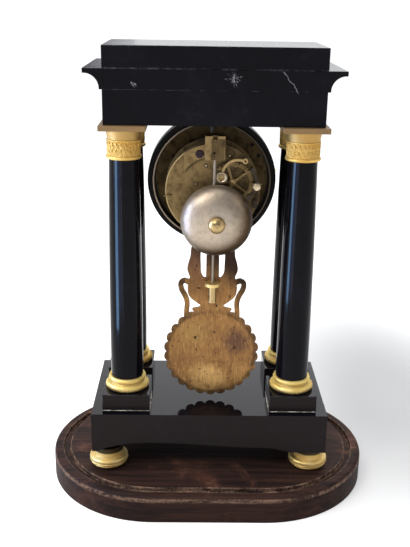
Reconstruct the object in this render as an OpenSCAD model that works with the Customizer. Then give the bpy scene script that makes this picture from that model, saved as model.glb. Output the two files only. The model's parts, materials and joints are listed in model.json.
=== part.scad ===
// Portico clock: black marble portico with gilt mounts, a striking movement and a lyre pendulum.
// Millimetres. X runs across the clock, the dial faces -Y, Z is up from the floor under the oval board.

/* [Oval board] */
// Length of the wooden board
board_l = 371; // [340:1:420]
// Depth of the wooden board
board_d = 248; // [225:1:290]
// Thickness of the wooden board
board_h = 32; // [26:1:45]
// Radius of the worn upper edge
board_edge_r = 5; // [2:0.5:8]
// Width of the rim outside the groove
board_rim_w = 11; // [8:0.5:16]
// Width of the groove that takes a glass dome
groove_w = 8; // [5:0.5:11]
// Depth of that groove
groove_depth = 5; // [4.5:0.5:8]

/* [Feet and plinth] */
// Height of a bun foot
foot_h = 26; // [20:0.5:32]
// Radius of a bun foot
foot_r = 21.8; // [19:0.2:26]
// How far a foot stands out past the plinth's side
foot_proud = 5; // [0:0.2:8]
// Distance of the foot axis from the plinth's rear face
foot_inset = 20.4; // [16:0.2:24]
// Radius of a foot stud
foot_stud_r = 3; // [2:0.25:4]
// Width of the plinth
plinth_w = 264.7; // [256:0.5:290]
// Depth of the plinth
plinth_d = 144.7; // [138:0.5:170]
// Height of the plinth
plinth_h = 46.6; // [38:0.5:60]
// Thickness of the plinth's top over the hollow
plinth_top_t = 16; // [10:0.5:22]
// Rise of the arched apron
apron_rise = 9.2; // [4:0.2:12]
// Length left straight at each end of the apron
apron_end = 30; // [26:1:45]

/* [Columns] */
// Distance between column axes across the clock
column_span = 187.8; // [182:0.2:196]
// Distance between column axes front to back
column_depth = 72.4; // [66:0.2:78]
// Side of a column block
block_w = 53.3; // [50:0.1:58]
// Height of a column block
block_h = 19.4; // [14:0.2:26]
// Height of a turned column base
col_base_h = 15; // [14:0.2:18]
// Radius of a column base at its lower roll
col_base_r = 24.2; // [22.5:0.1:25]
// Length of a column shaft
shaft_h = 248; // [225:1:280]
// Radius of a shaft at its foot
shaft_r_low = 18.1; // [17:0.1:18.6]
// Radius of a shaft at its top
shaft_r_high = 15.7; // [14:0.1:16.2]
// How far a shaft swells at mid-height
shaft_swell = 0.9; // [0:0.1:1.5]
// Height of a capital with its abacus
capital_h = 36.3; // [34:0.1:42]
// Radius of a capital's neck
capital_neck_r = 17.3; // [16.4:0.1:18]
// Side of the square abacus
abacus_w = 48.3; // [44:0.1:52]
// Thickness of the abacus
abacus_t = 5.4; // [4:0.1:8]
// Radius of a column tie rod
tie_r = 4; // [3:0.25:5]
// Free space around a tie rod or bolt in its hole
tie_play = 0.3; // [0.2:0.05:0.6]
// Height of a tie nut
tie_nut_h = 6.5; // [5:0.5:8]

/* [Entablature] */
// Width of the frieze
frieze_w = 227.3; // [222:0.1:240]
// Depth of the frieze
frieze_d = 105.4; // [102:0.1:116]
// Height of the frieze
frieze_h = 35.3; // [30:0.1:44]
// Depth of the nut pockets in the frieze's top
pocket_depth = 12; // [11:0.5:16]
// How far the cornice stands out
cornice_out = 19.45; // [16:0.05:24]
// Height of the cornice
cornice_h = 21; // [18:0.1:26]
// Height of the flat band at the cornice's edge
cornice_band = 5; // [2:0.1:6]
// How far the cornice's lowest step stands out
cornice_step = 3; // [0.5:0.1:4]
// Height of the attic slab
attic_h = 22.4; // [16:0.1:30]

/* [Drum and dial] */
// Gap between the drum ring and the columns
ring_column_gap = 5; // [3:0.1:8]
// Radial thickness of the drum ring
ring_t = 6; // [5:0.1:7]
// Depth of the drum ring
ring_depth = 23; // [12:0.5:26]
// Gap between the drum ring and the frieze
ring_gap = 0.8; // [0.3:0.1:2]
// Distance of the drum's front from the movement's middle plane
drum_front = 56; // [55:0.5:60]
// Length of the drum tube
tube_l = 30; // [29:0.5:34]
// Wall of the drum tube
tube_wall = 1.6; // [1:0.1:2.4]
// Thickness of the enamel dial
dial_t = 1.4; // [1:0.1:2]
// Thickness of the brass false plate
false_t = 2; // [1.5:0.1:3]
// Side of the square notches in the false plate
notch_w = 4.2; // [3:0.1:5]
// Width of the bezel, from its edge to the glass opening
bezel_w = 13.9; // [13:0.1:15]
// How far the bezel's edge lies inside the drum ring's
bezel_inset = 1.7; // [1.4:0.1:2.7]
// Depth of the bezel
bezel_depth = 9.6; // [8:0.1:12]
// Thickness of the glass
glass_t = 1.8; // [1.4:0.1:2]
// How far the glass bulges
glass_crown = 3.5; // [2:0.1:5]
// Length of the hour hand
hour_hand_l = 32; // [26:0.5:36]
// Length of the minute hand
minute_hand_l = 47; // [40:0.5:52]
// Radius of the bolt that hangs the drum
drum_bolt_r = 2.5; // [2:0.1:3]

/* [Movement] */
// Radius of the movement plates
plate_r = 51.2; // [50.5:0.1:54]
// Thickness of a movement plate
plate_t = 2; // [1.5:0.1:2.4]
// Distance between the plates
plate_gap = 36; // [36:0.1:37]
// Radius of a wheel arbor
arbor_r = 1.1; // [0.9:0.05:1.2]
// Radius of an arbor's pivot
pivot_r = 0.8; // [0.6:0.05:0.85]
// Running clearance of pivots, pipes and studs
run_play = 0.05; // [0.03:0.01:0.08]
// Extra distance between meshed wheels
mesh_play = 0.05; // [0.02:0.01:0.15]
// Thickness of a train wheel
wheel_t = 1.2; // [0.8:0.1:1.6]
// Radius of a spring barrel's drum
barrel_r = 17; // [15:0.1:17.5]
// Length of a spring barrel's drum
barrel_l = 18; // [15:0.5:19]
// Radius of a winding arbor
winding_r = 2.5; // [2.2:0.1:2.7]
// Side of the winding square
winding_sq = 3.2; // [2.6:0.1:3.4]
// Radius of the escape wheel
escape_r = 10.2; // [9:0.1:10.5]

/* [Striking work] */
// Radius of the count wheel
count_r = 22; // [20:0.1:22.2]
// Outer radius of the bell
bell_r = 38.5; // [36:0.1:40]
// Height of the bell
bell_h = 20; // [16:0.5:23]
// Wall of the bell
bell_t = 2; // [1.4:0.1:3]
// Distance of the bell's rim from the movement's middle plane
bell_rim_y = 42; // [41:0.5:45]
// Gap between the resting hammer and the bell
hammer_gap = 1; // [0.5:0.1:2]

/* [Pendulum] */
// Radius of the scalloped rosette
rosette_r = 54; // [48:0.5:56]
// Number of scallops
scallops = 26; // [18:1:32]
// Gap under the rosette
rosette_gap = 4.4; // [3:0.2:10]
// Thickness of the bob's plate
bob_t = 3; // [2:0.1:4]
// Radius of the pendulum rod
rod_r = 1.5; // [1:0.1:1.8]
// Distance of the rod from the movement's middle plane
rod_y = 36; // [35.5:0.1:36.5]
// Distance of the bob's flat back from the rod
bob_offset = 6; // [5.5:0.1:8]
// Height of the rating nut's top above the rosette's centre
nut_rise = 82.6; // [80:0.2:86]

/* [Hidden] */
$fn = 64;
// Small overshoot for cuts
eps = 0.5;
seat_play = 0.3;

// Heights of the stack, from the floor up
z_feet = board_h;
z_plinth = z_feet + foot_h;
z_blocks = z_plinth + plinth_h;
z_col_bases = z_blocks + block_h;
z_shafts = z_col_bases + col_base_h;
z_capitals = z_shafts + shaft_h;
z_frieze = z_capitals + capital_h;
z_cornice = z_frieze + frieze_h;
z_attic = z_cornice + cornice_h;
ring_r = column_span / 2 - shaft_r_high - ring_column_gap;
axis_z = z_frieze - ring_gap - ring_r;

// Places of the feet and columns
foot_x = plinth_w / 2 + foot_proud - foot_r;
foot_y = plinth_d / 2 - foot_inset;
column_x = column_span / 2;
column_y = column_depth / 2;
hollow_x = column_x + 10.1;
hollow_y = column_y + 10.3;
tie_hole_r = tie_r + tie_play;
// Bun feet: where they are widest, as a share of the height, how far they round in below and above, and the neck
foot_waist = 0.4;
foot_rim = 0.1;
foot_swell = 0.43 * foot_r;
foot_lip = 0.07 * foot_r;
foot_neck_r = 0.8 * foot_r;
tie_nut_r = 2 * tie_r;
pocket_r = tie_nut_r + 3;

// Uneven rear apron, as shares of half the plinth's width and of the rise
apron_rear = [[0.95, 0], [0.9, 0.36], [0.82, 0.68], [0.735, 0.98], [0.675, 1.09], [0.57, 1.2], [0.46, 1.22],
  [0.25, 1.14], [0, 0.92], [-0.267, 0.7], [-0.45, 0.62], [-0.54, 0.54], [-0.64, 0.22], [-0.7, 0]];
// Thickness of the rear apron where it passes the feet, and how far the cut goes right through
apron_t = 12;
apron_in = foot_x - foot_r;

// Depth planes of the drum, from the movement's middle plane
y_back = plate_gap / 2 + plate_t;
y_front = -y_back;
y_drum_front = -drum_front;
y_ring_rear = y_drum_front + ring_depth;
y_tube_rear = y_drum_front + tube_l;
tube_r = ring_r - ring_t - 0.2;
tube_r_in = tube_r - tube_wall;
y_dial_front = y_drum_front + 10;
y_dial_rear = y_dial_front + dial_t;
y_false_front = y_dial_rear + seat_play;
y_false_rear = y_false_front + false_t;
lip_w = 1.6;
lip_t = 1.2;
bolt_y = y_tube_rear - 6.5;
saddle_w = 18;
saddle_l = 10;
bolt_tail = 6;
y_bezel_rear = y_drum_front - 0.4;
y_bezel_front = y_bezel_rear - bezel_depth;
bezel_r = ring_r - bezel_inset;
sight_r = bezel_r - bezel_w;
rebate_r = sight_r + 2.5;
rebate_y = y_bezel_front + 4.8;
hinge_x = -ring_r - 0.4;
hinge_y = y_drum_front - 1.6;
hinge_r = 1.6;
hinge_pin_r = 0.8;
hinge_half = 3.7;
hinge_ear = 5;

// Teeth, as shares of the module and of the tooth pitch
wheel_add = 0.75;
wheel_ded = 0.95;
wheel_tip = 0.10;
wheel_root = 0.24;
leaf_add = 0.6;
leaf_ded = 1.1;
leaf_tip = 0.06;
leaf_root = 0.16;
wheel_n = 60;
third_n = 72;
warning_n = 48;
slow_leaves = 10;
fast_leaves = 6;
m_going = 0.598;
m_inter = 0.56;
m_centre = 0.55;
m_third = 0.4;
m_strike = 0.673;
m_pin = 0.5;
m_warning = 0.4;
m_fly = 0.36;
cannon_n = 12;
minute_n = 36;
minute_leaves = 10;
hour_n = 40;
m_minute = 0.6;
m_hour = m_minute * (cannon_n + minute_n) / (minute_leaves + hour_n);

// Angle of each mesh, from one arbor to the next
a_inter = 20;
a_going = -70.2;
a_third = 106.2;
a_escape = 37.8;
a_strike = -100;
a_pin = 100;
a_warning = 60;
a_fly = 40;
a_minute = 90;

// Arbor places across the plates, from the dial's axis
centre_p = [0, 0];
inter_p = polar(mesh(m_inter, wheel_n, slow_leaves), a_inter);
going_p = inter_p + polar(mesh(m_going, wheel_n, slow_leaves), a_going);
third_p = polar(mesh(m_centre, wheel_n, fast_leaves), a_third);
escape_p = third_p + polar(mesh(m_third, third_n, fast_leaves), a_escape);
count_p = [-21.4, 10.2];
strike_p = count_p + polar(mesh(m_strike, wheel_n, slow_leaves), a_strike);
pin_p = count_p + polar(mesh(m_pin, wheel_n, fast_leaves), a_pin);
warning_p = pin_p + polar(mesh(m_warning, wheel_n, fast_leaves), a_warning);
fly_p = warning_p + polar(mesh(m_fly, warning_n, fast_leaves), a_fly);
minute_p = polar(mesh(m_minute, minute_n, cannon_n), a_minute);
pallet_p = [-1.5, 43.7];
hammer_p = [-41.5, 25];
hammer_boss_p = [-46.4, 8];
detent_p = [-34, 34];
bell_p = [-4.2, -27.3];
stand_p = [-15, -42.5];
pillar_ps = [[46, -6], [-46.5, 8], [28, -40], [-28, -40]];
feet_ps = [for (a = [60, 180, 300]) polar(plate_r - 5, a)];
train_ps = [inter_p, third_p, escape_p, pin_p, warning_p, fly_p];

// Depth planes of the train, each the front face of a wheel
y_barrel = -plate_gap / 2 + 5;
great_t = 2;
y_inter = 8;
y_centre = 12.5;
y_third = -12;
y_escape = 2;
y_pin = -4;
y_warning = 12;
y_fly = 4.5;
y_count = y_back + 4;
y_lever = y_count + wheel_t + 1.8;
leaf_over = 1.6;

// Motion work planes, counted forward from the front plate
y_cannon = y_front - 4.2;
y_minute = y_front - 3.8;
y_hour = y_front - 8.2;
hour_wheel_t = 1.6;
minute_t = 1.4;
pipe_r = 2.2;
hour_pipe_r = 3.2;
y_hour_hand = y_dial_front - 3.4;
y_minute_hand = y_dial_front - 5.6;
hand_t = 1;
y_arbor_tip = y_dial_front - 7.6;
y_square_tip = y_dial_front - 1.8;

// Suspension and pendulum
pend_x = pallet_p[0];
pend_z = axis_z + pallet_p[1];
cock_t = 4;
cock_block = [-12, 9, 36.7, 61.7];
y_block_rear = rod_y + 3;
slot_w = 5.5;
slot_floor = rod_y - 3;
rosette_z = z_blocks + rosette_gap + rosette_r;
bob_rear = rod_y - bob_offset;
bob_front = bob_rear - bob_t;
lug_r = 8.5;
lug_t = 3.6;
nut_r = 4.25;
nut_l = 19;
flex_gap = 0.35;
crutch_r = 0.9;
crutch_y = rod_y - 4.5;
crutch_end = -4;
head_r = 3;
head_d = bell_r + hammer_gap + head_r;
head_p = bell_p + polar(head_d, 142);
stand_r = 2.4;
stand_flange_r = 4;
taper_pin_r = 0.6;
stand_y = bell_rim_y + 5;
bell_stud_r = 1.9;
hang_z = pend_z + 12;
cock_screw_p = [14.4, 40.3];
pin_ring_r = 9;
tail_reach = norm(pin_p - hammer_p) - pin_ring_r - 1.6;

// Half of the lyre's outer edge, from the rosette up, as distance from the middle and height above the rosette
lyre_edge = [[25, 41], [19.4, 47.2], [22.2, 52.6], [14.6, 54.8], [13, 57], [17, 60], [25.4, 67.6],
  [27.6, 78], [25.6, 88.6], [25.2, 91], [28, 99], [26.8, 107], [24.8, 114], [23.4, 126], [18, 133.6], [8, 135], [0, 134]];
lyre_gap = [[7.2, 90], [10, 90.6], [12.6, 96], [13, 104], [13.4, 116], [12.6, 125], [10, 128.6], [7.2, 128]];
lyre_loop = [[26, 84], [31, 86], [35, 82.6], [34, 75.6], [30, 68], [27.8, 60], [28.4, 50], [28.6, 42]];
loop_w = 5.8;
// The lyre's height follows the room under the bell's stand
lyre_foot = 38;
lyre_clear = 4.8;
lyre_top = axis_z + stand_p[1] - stand_flange_r - lyre_clear - rosette_z;
lyre_stretch = (lyre_top - lyre_foot) / (lyre_edge[len(lyre_edge) - 2][1] - lyre_foot);
nut_up = lyre_foot + (nut_rise - lyre_foot) * lyre_stretch;
nut_z = rosette_z + nut_up;

function stretched(p) = [for (q = p) [q[0], lyre_foot + (q[1] - lyre_foot) * lyre_stretch]];
function polar(d, a) = [d * cos(a), d * sin(a)];
function mesh(m, n1, n2) = m * (n1 + n2) / 2 + mesh_play;
function tooth_ring(n, m, phase, add, ded, tip, root) = [
  for (i = [0:n - 1]) for (q = [[-root, -ded], [-tip, add], [tip, add], [root, -ded]])
    polar(m * n / 2 + q[1] * m, phase + (i + q[0]) * 360 / n)];
function turn_point(a, b, c, d, t) =
  0.5 * (2 * b + (c - a) * t + (2 * a - 5 * b + 4 * c - d) * t * t + (3 * b - a - 3 * c + d) * t * t * t);
function smooth(p, n) = concat(
  [for (i = [0:len(p) - 2]) for (j = [0:n - 1])
    turn_point(p[max(i - 1, 0)], p[i], p[i + 1], p[min(i + 2, len(p) - 1)], j / n)], [p[len(p) - 1]]);
function heading(p, i) = p[min(i + 1, len(p) - 1)] - p[max(i - 1, 0)];
function side(p, i, w) = p[i] + w / 2 * [-heading(p, i)[1], heading(p, i)[0]] / norm(heading(p, i));
function ribbon(p, w) = concat([for (i = [0:len(p) - 1]) side(p, i, w)],
  [for (i = [len(p) - 1:-1:0]) side(p, i, -w)]);
function bell_curve(r, h) = [for (a = [0:6:90]) [r * pow(cos(a), 0.62), bell_rim_y + h * pow(sin(a), 0.9)]];

// Helpers for pieces that lie along Y
module between(y0, y1) translate([0, y1, 0]) rotate([90, 0, 0]) linear_extrude(y1 - y0) children();
module rod_along(r, y0, y1) translate([0, y1, 0]) rotate([90, 0, 0]) cylinder(r = r, h = y1 - y0);
module turned_along(points) rotate([90, 0, 0]) rotate_extrude() polygon([for (p = points) [p[0], -p[1]]]);
module at(p) translate([p[0], 0, axis_z + p[1]]) children();
module on_axis() at([0, 0]) children();
module four(x, y) for (sx = [-1, 1]) for (sy = [-1, 1]) translate([sx * x, sy * y, 0]) children();
module on_columns(z) translate([0, 0, z]) four(column_x, column_y) children();
module drill(r, h) translate([0, 0, -eps]) cylinder(r = r, h = h + 2 * eps);
// Bent wire: straight lengths with a slightly fuller ball at each bend
module wire(points, r) {
  for (p = points) translate(p) sphere(r * 1.08, $fn = 24);
  for (i = [1:len(points) - 1]) {
    d = points[i] - points[i - 1];
    translate(points[i - 1]) rotate([0, acos(d[2] / norm(d)), atan2(d[1], d[0])]) {
      cylinder(r = r, h = norm(d), $fn = 24);
    }
  }
}

// Wheels and pinions, drawn across the plates
module wheel_teeth(n, m, phase) polygon(tooth_ring(n, m, phase, wheel_add, wheel_ded, wheel_tip, wheel_root));
module leaves(n, m, phase) polygon(tooth_ring(n, m, phase, leaf_add, leaf_ded, leaf_tip, leaf_root));
module crossings(r_in, hub, spokes, bar) difference() {
  circle(r_in);
  circle(hub);
  for (i = [0:spokes - 1]) rotate(i * 360 / spokes) translate([0, -bar / 2]) square([r_in + 1, bar]);
}
module spoked_wheel(n, m, phase, y, t) {
  rim = m * (n / 2 - wheel_ded) - 2;
  between(y, y + t) difference() {
    wheel_teeth(n, m, phase);
    crossings(rim, 3.2, 4, 2);
  }
}
module train_arbor() {
  rod_along(arbor_r, -plate_gap / 2 + seat_play, plate_gap / 2 - seat_play);
  rod_along(pivot_r, y_front, y_back);
}
module thin_arbor() rod_along(pivot_r, y_front, y_back);
module pinion(n, m, phase, y) between(y - leaf_over, y + wheel_t + leaf_over) leaves(n, m, phase);

// Oval board that the clock stands on
module board_profile() {
  r = board_d / 2;
  difference() {
    union() {
      square([r - board_edge_r, board_h]);
      square([r, board_h - board_edge_r]);
      translate([r - board_edge_r, board_h - board_edge_r]) circle(board_edge_r);
    }
    translate([r - board_rim_w - groove_w, board_h - groove_depth]) square([groove_w, groove_depth + eps]);
  }
}
module dome_base() color([0.16, 0.09, 0.06]) {
  run = (board_l - board_d) / 2;
  rotate([90, 0, 90]) translate([0, 0, -run]) linear_extrude(2 * run) {
    board_profile();
    mirror([1, 0]) board_profile();
  }
  for (s = [-1, 1]) translate([s * run, 0, 0]) intersection() {
    rotate_extrude() board_profile();
    translate([s * board_d / 2, 0, board_h / 2]) cube([board_d, 2 * board_d, 2 * board_h], center = true);
  }
}

// Bun feet and the studs that hold them
module feet() color([0.72, 0.53, 0.22]) translate([0, 0, z_feet]) four(foot_x, foot_y) difference() {
  rotate_extrude() polygon(concat([[0, 0]],
    [for (a = [-90:10:0]) [foot_r + foot_swell * (cos(a) - 1), foot_h * foot_waist * (1 + sin(a))]],
    [for (a = [15:15:90]) [foot_r + foot_lip * (cos(a) - 1), foot_h * (foot_waist + foot_rim * sin(a))]],
    [[foot_neck_r, foot_h * (foot_waist + 1.6 * foot_rim)], [foot_neck_r, foot_h], [0, foot_h]]));
  translate([0, 0, foot_h / 3]) cylinder(r = foot_stud_r + tie_play, h = foot_h);
}
module foot_studs() color([0.35, 0.34, 0.33]) four(foot_x, foot_y) {
  translate([0, 0, z_feet + foot_h / 3]) cylinder(r = foot_stud_r, h = foot_h * 2 / 3 + plinth_h / 2);
}

// Marble plinth, hollow underneath, with an arched apron
module rear_arch() polygon(concat([[apron_rear[0][0] * plinth_w / 2, -eps]],
  [for (p = smooth(apron_rear, 3)) [p[0] * plinth_w / 2, p[1] * apron_rise]],
  [[apron_rear[len(apron_rear) - 1][0] * plinth_w / 2, -eps]]));
module plinth() color([0.06, 0.06, 0.07]) difference() {
  translate([-plinth_w / 2, -plinth_d / 2, z_plinth]) cube([plinth_w, plinth_d, plinth_h]);
  hollow_h = plinth_h - plinth_top_t;
  translate([-hollow_x, -hollow_y, z_plinth - eps]) cube([2 * hollow_x, 2 * hollow_y, hollow_h + eps]);
  half = plinth_w / 2 - apron_end;
  arch_r = (half * half + apron_rise * apron_rise) / (2 * apron_rise);
  translate([0, 0, z_plinth + apron_rise - arch_r]) rod_along(arch_r, -plinth_d, 0, $fn = 128);
  translate([0, 0, z_plinth]) {
    between(plinth_d / 2 - apron_t, plinth_d) rear_arch();
    between(0, plinth_d) intersection() {
      rear_arch();
      translate([-apron_in, -plinth_h]) square([2 * apron_in, 2 * plinth_h]);
    }
  }
  on_columns(z_plinth) drill(tie_hole_r, plinth_h);
  stud_hole = plinth_h / 2 + tie_play + eps;
  translate([0, 0, z_plinth - eps]) four(foot_x, foot_y) cylinder(r = foot_stud_r + tie_play, h = stud_hole);
}

// Column blocks, turned bases, shafts and capitals
module column_blocks() color([0.06, 0.06, 0.07]) on_columns(z_blocks) difference() {
  translate([-block_w / 2, -block_w / 2, 0]) cube([block_w, block_w, block_h]);
  drill(tie_hole_r, block_h);
}
module column_base_profile() {
  roll_r = col_base_h * 0.27;
  bead_r = col_base_h * 0.15;
  core_r = col_base_r - roll_r;
  difference() {
    union() {
      square([core_r, col_base_h]);
      translate([core_r, roll_r]) circle(roll_r);
      translate([core_r - 1.4, col_base_h - bead_r]) circle(bead_r);
    }
    translate([core_r + 1, 2 * roll_r + bead_r / 2]) circle(bead_r * 0.8);
  }
}
module column_bases() color([0.80, 0.61, 0.27]) on_columns(z_col_bases) difference() {
  rotate_extrude() column_base_profile();
  drill(tie_hole_r, col_base_h);
}
module column_shafts() color([0.04, 0.04, 0.06]) on_columns(z_shafts) difference() {
  rotate_extrude() polygon(concat([[0, 0]],
    [for (t = [0:1 / 8:1]) [shaft_r_low + (shaft_r_high - shaft_r_low) * t + 4 * shaft_swell * t * (1 - t),
      shaft_h * t]],
    [[0, shaft_h]]));
  drill(tie_hole_r, shaft_h);
}
module capital_profile() {
  ring = 2;
  under = capital_h - abacus_t;
  flare = 1.9;
  square([capital_neck_r, under]);
  translate([capital_neck_r - 0.4, ring]) circle(ring);
  translate([capital_neck_r - 0.3, under * 0.64]) circle(ring / 2);
  polygon(concat([[0, under * 0.66]], smooth([[capital_neck_r, under * 0.66],
    [capital_neck_r + flare * 0.2, under * 0.78], [capital_neck_r + flare, under]], 4), [[0, under]]));
}
module capitals() color([0.80, 0.61, 0.27]) on_columns(z_capitals) difference() {
  union() {
    rotate_extrude() capital_profile();
    translate([-abacus_w / 2, -abacus_w / 2, capital_h - abacus_t]) cube([abacus_w, abacus_w, abacus_t]);
  }
  drill(tie_hole_r, capital_h);
}
module tie_rods() color([0.3, 0.3, 0.3]) {
  z_low = z_blocks - plinth_top_t - tie_nut_h - 4;
  z_high = z_cornice - pocket_depth + tie_nut_h + 2;
  on_columns(z_low) cylinder(r = tie_r, h = z_high - z_low);
}
module tie_nuts() color([0.35, 0.34, 0.33]) {
  for (z = [z_blocks - plinth_top_t - tie_nut_h, z_cornice - pocket_depth]) {
    on_columns(z) difference() {
      cylinder(r = tie_nut_r, h = tie_nut_h, $fn = 6);
      drill(tie_r + run_play, tie_nut_h);
    }
  }
}

// Entablature
module frieze() color([0.06, 0.06, 0.08]) translate([0, 0, z_frieze]) difference() {
  translate([-frieze_w / 2, -frieze_d / 2, 0]) cube([frieze_w, frieze_d, frieze_h]);
  on_columns(0) drill(tie_hole_r, frieze_h);
  on_columns(frieze_h - pocket_depth) cylinder(r = pocket_r, h = pocket_depth + eps);
  translate([0, bolt_y, 0]) drill(drum_bolt_r + tie_play, frieze_h);
  translate([0, bolt_y, frieze_h - pocket_depth]) cylinder(r = pocket_r, h = pocket_depth + eps);
}
module cornice_profile(half) {
  top = cornice_h - cornice_band;
  cove = min(cornice_out - cornice_step - 1, top - 1);
  square([half + cornice_step, top]);
  difference() {
    translate([half, top - cove]) square([cornice_step + cove, cove]);
    translate([half + cornice_step + cove, top - cove]) circle(cove);
  }
  translate([0, top]) square([half + cornice_out, cornice_band]);
}
module cornice() color([0.06, 0.06, 0.08]) translate([0, 0, z_cornice]) intersection() {
  translate([0, frieze_d / 2, 0]) rotate([90, 0, 0]) linear_extrude(frieze_d + cornice_out + eps) {
    cornice_profile(frieze_w / 2);
    mirror([1, 0]) cornice_profile(frieze_w / 2);
  }
  translate([-frieze_w, 0, 0]) rotate([90, 0, 90]) linear_extrude(2 * frieze_w) {
    mirror([1, 0]) cornice_profile(frieze_d / 2);
    square([frieze_d / 2, cornice_h]);
  }
}
module attic_slab() color([0.06, 0.06, 0.08]) {
  translate([-frieze_w / 2, -frieze_d / 2, z_attic]) cube([frieze_w, frieze_d, attic_h]);
}

// Drum that carries the movement under the frieze
module drum_ring() color([0.05, 0.04, 0.05]) on_axis() difference() {
  rod_along(ring_r, y_drum_front, y_ring_rear);
  rod_along(ring_r - ring_t, y_drum_front - eps, y_ring_rear + eps);
  translate([-saddle_w / 2 - seat_play, bolt_y - saddle_l / 2 - seat_play, 0]) {
    cube([saddle_w + 2 * seat_play, saddle_l + 2 * seat_play, ring_r + eps]);
  }
}
module drum_tube() color([0.62, 0.50, 0.28]) difference() {
  on_axis() {
    difference() {
      rod_along(tube_r, y_drum_front, y_tube_rear);
      rod_along(tube_r_in, y_drum_front - eps, y_tube_rear + eps);
    }
    difference() {
      rod_along(tube_r_in + tube_wall / 2, y_false_rear, y_false_rear + lip_t);
      rod_along(tube_r_in - lip_w, y_false_rear - eps, y_false_rear + lip_t + eps);
    }
  }
  translate([0, bolt_y, axis_z]) cylinder(r = drum_bolt_r + tie_play, h = ring_r);
}
module drum_saddle() color([0.55, 0.42, 0.22]) difference() {
  translate([-saddle_w / 2, bolt_y - saddle_l / 2, axis_z + tube_r - 3]) {
    cube([saddle_w, saddle_l, z_frieze - axis_z - tube_r + 3]);
  }
  on_axis() rod_along(tube_r + run_play, bolt_y - saddle_l, bolt_y + saddle_l);
  translate([0, bolt_y, axis_z]) cylinder(r = drum_bolt_r + tie_play, h = 2 * ring_r);
}
module drum_bolt() color([0.75, 0.75, 0.74]) translate([0, bolt_y, 0]) {
  z_head = axis_z + tube_r_in - 1.6 * drum_bolt_r;
  z_nut = z_cornice - pocket_depth;
  nut_t = 1.8 * drum_bolt_r;
  translate([0, 0, z_head - bolt_tail]) cylinder(r = drum_bolt_r, h = z_nut + nut_t + 2 - z_head + bolt_tail);
  translate([0, 0, z_head]) cylinder(r = 2 * drum_bolt_r, h = 1.5 * drum_bolt_r, $fn = 6);
  translate([0, 0, z_nut]) cylinder(r = 2 * drum_bolt_r, h = nut_t, $fn = 6);
}

// Hinged bezel and glass
module bezel() color([0.83, 0.65, 0.30]) {
  on_axis() turned_along(concat(
    [[sight_r, rebate_y - 1.4], [sight_r, rebate_y], [rebate_r, rebate_y], [rebate_r, y_bezel_rear],
     [bezel_r, y_bezel_rear], [bezel_r, y_bezel_rear - 1.6]],
    smooth([[bezel_r - 1, y_bezel_rear - 2.6], [bezel_r - 2.5, y_bezel_front + 2],
      [bezel_r - 6, y_bezel_front], [bezel_r - 9, y_bezel_front + 1.2]], 4)));
  translate([hinge_x, hinge_y, axis_z]) difference() {
    union() {
      translate([0, 0, -hinge_half]) cylinder(r = hinge_r, h = 2 * hinge_half);
      translate([0, -1, -hinge_half]) cube([-hinge_x - bezel_r + 1, 1.5, 2 * hinge_half]);
    }
    translate([0, 0, -hinge_half]) drill(hinge_pin_r + run_play, 2 * hinge_half);
  }
}
module bezel_hinge() color([0.70, 0.54, 0.26]) translate([hinge_x, hinge_y, axis_z]) {
  reach = hinge_half + seat_play + hinge_ear;
  translate([0, 0, -reach]) cylinder(r = hinge_pin_r, h = 2 * reach);
  for (z = [hinge_half + seat_play, -reach]) translate([0, 0, z]) {
    cylinder(r = hinge_r, h = hinge_ear);
    cube([-hinge_x - bezel_r - 0.9, hinge_r, hinge_ear]);
  }
}
module glass() color([0.85, 0.92, 0.95, 0.35]) on_axis() {
  edge = rebate_r - 0.2;
  dome_r = sight_r - seat_play;
  rise = concat([[edge, 0]],
    [for (i = [0:8]) [dome_r * (1 - i / 8), glass_crown * (1 - pow(1 - i / 8, 2))]]);
  turned_along(concat([for (p = rise) [p[0], rebate_y + glass_t + run_play - p[1]]],
    [for (i = [len(rise) - 1:-1:0]) [rise[i][0], rebate_y + run_play - rise[i][1]]]));
}

// Dial, its brass backing plate and the hands
module false_plate() color([0.60, 0.52, 0.30]) on_axis() between(y_false_front, y_false_rear) difference() {
  circle(tube_r_in - 0.2);
  circle(8);
  for (p = [going_p, strike_p]) translate(p) circle(winding_r + 1.5);
  for (a = [139, 153]) rotate(a) translate([tube_r_in - 7.5, -notch_w / 2]) square(notch_w);
  for (a = [30, 150, 270]) translate(polar(plate_r, a)) circle(1.3);
}
module dial() color([0.94, 0.93, 0.88]) on_axis() {
  between(y_dial_front, y_dial_rear) difference() {
    circle(tube_r_in - 0.4);
    circle(hour_pipe_r + 0.5);
    for (p = [going_p, strike_p]) translate(p) circle(winding_r + 1);
  }
  for (a = [30, 150, 270]) translate([polar(plate_r, a)[0], 0, polar(plate_r, a)[1]]) {
    rod_along(1, y_dial_rear, y_false_rear + 2);
  }
}
module hand(l, hub, moon, bore, y) difference() {
  union() {
    rod_along(hub, y, y + hand_t);
    between(y, y + hand_t) polygon([[-hub * 0.35, 0], [-0.8, l * 0.66], [-0.5, l * 0.8], [0, l], [0.5, l * 0.8],
      [0.8, l * 0.66], [hub * 0.35, 0]]);
    translate([0, 0, l * 0.7]) rod_along(moon, y, y + hand_t);
  }
  translate([0, 0, l * 0.7 + 0.3]) rod_along(moon * 0.6, y - eps, y + hand_t + eps);
  rod_along(bore, y - eps, y + hand_t + eps);
}
module hour_hand() color([0.10, 0.12, 0.25]) on_axis() rotate([0, -60, 0]) {
  hand(hour_hand_l, hour_pipe_r + 2, 3, hour_pipe_r + run_play, y_hour_hand);
}
module minute_hand() color([0.10, 0.12, 0.25]) on_axis() rotate([0, 60, 0]) {
  hand(minute_hand_l, pipe_r + 2, 2.6, pipe_r + run_play, y_minute_hand);
}
module hand_collet() color([0.75, 0.58, 0.28]) on_axis() difference() {
  rod_along(pipe_r + 1, y_minute_hand - 1.4, y_minute_hand - run_play);
  rod_along(pipe_r + run_play, y_minute_hand - 2, y_minute_hand + 1);
}
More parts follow.
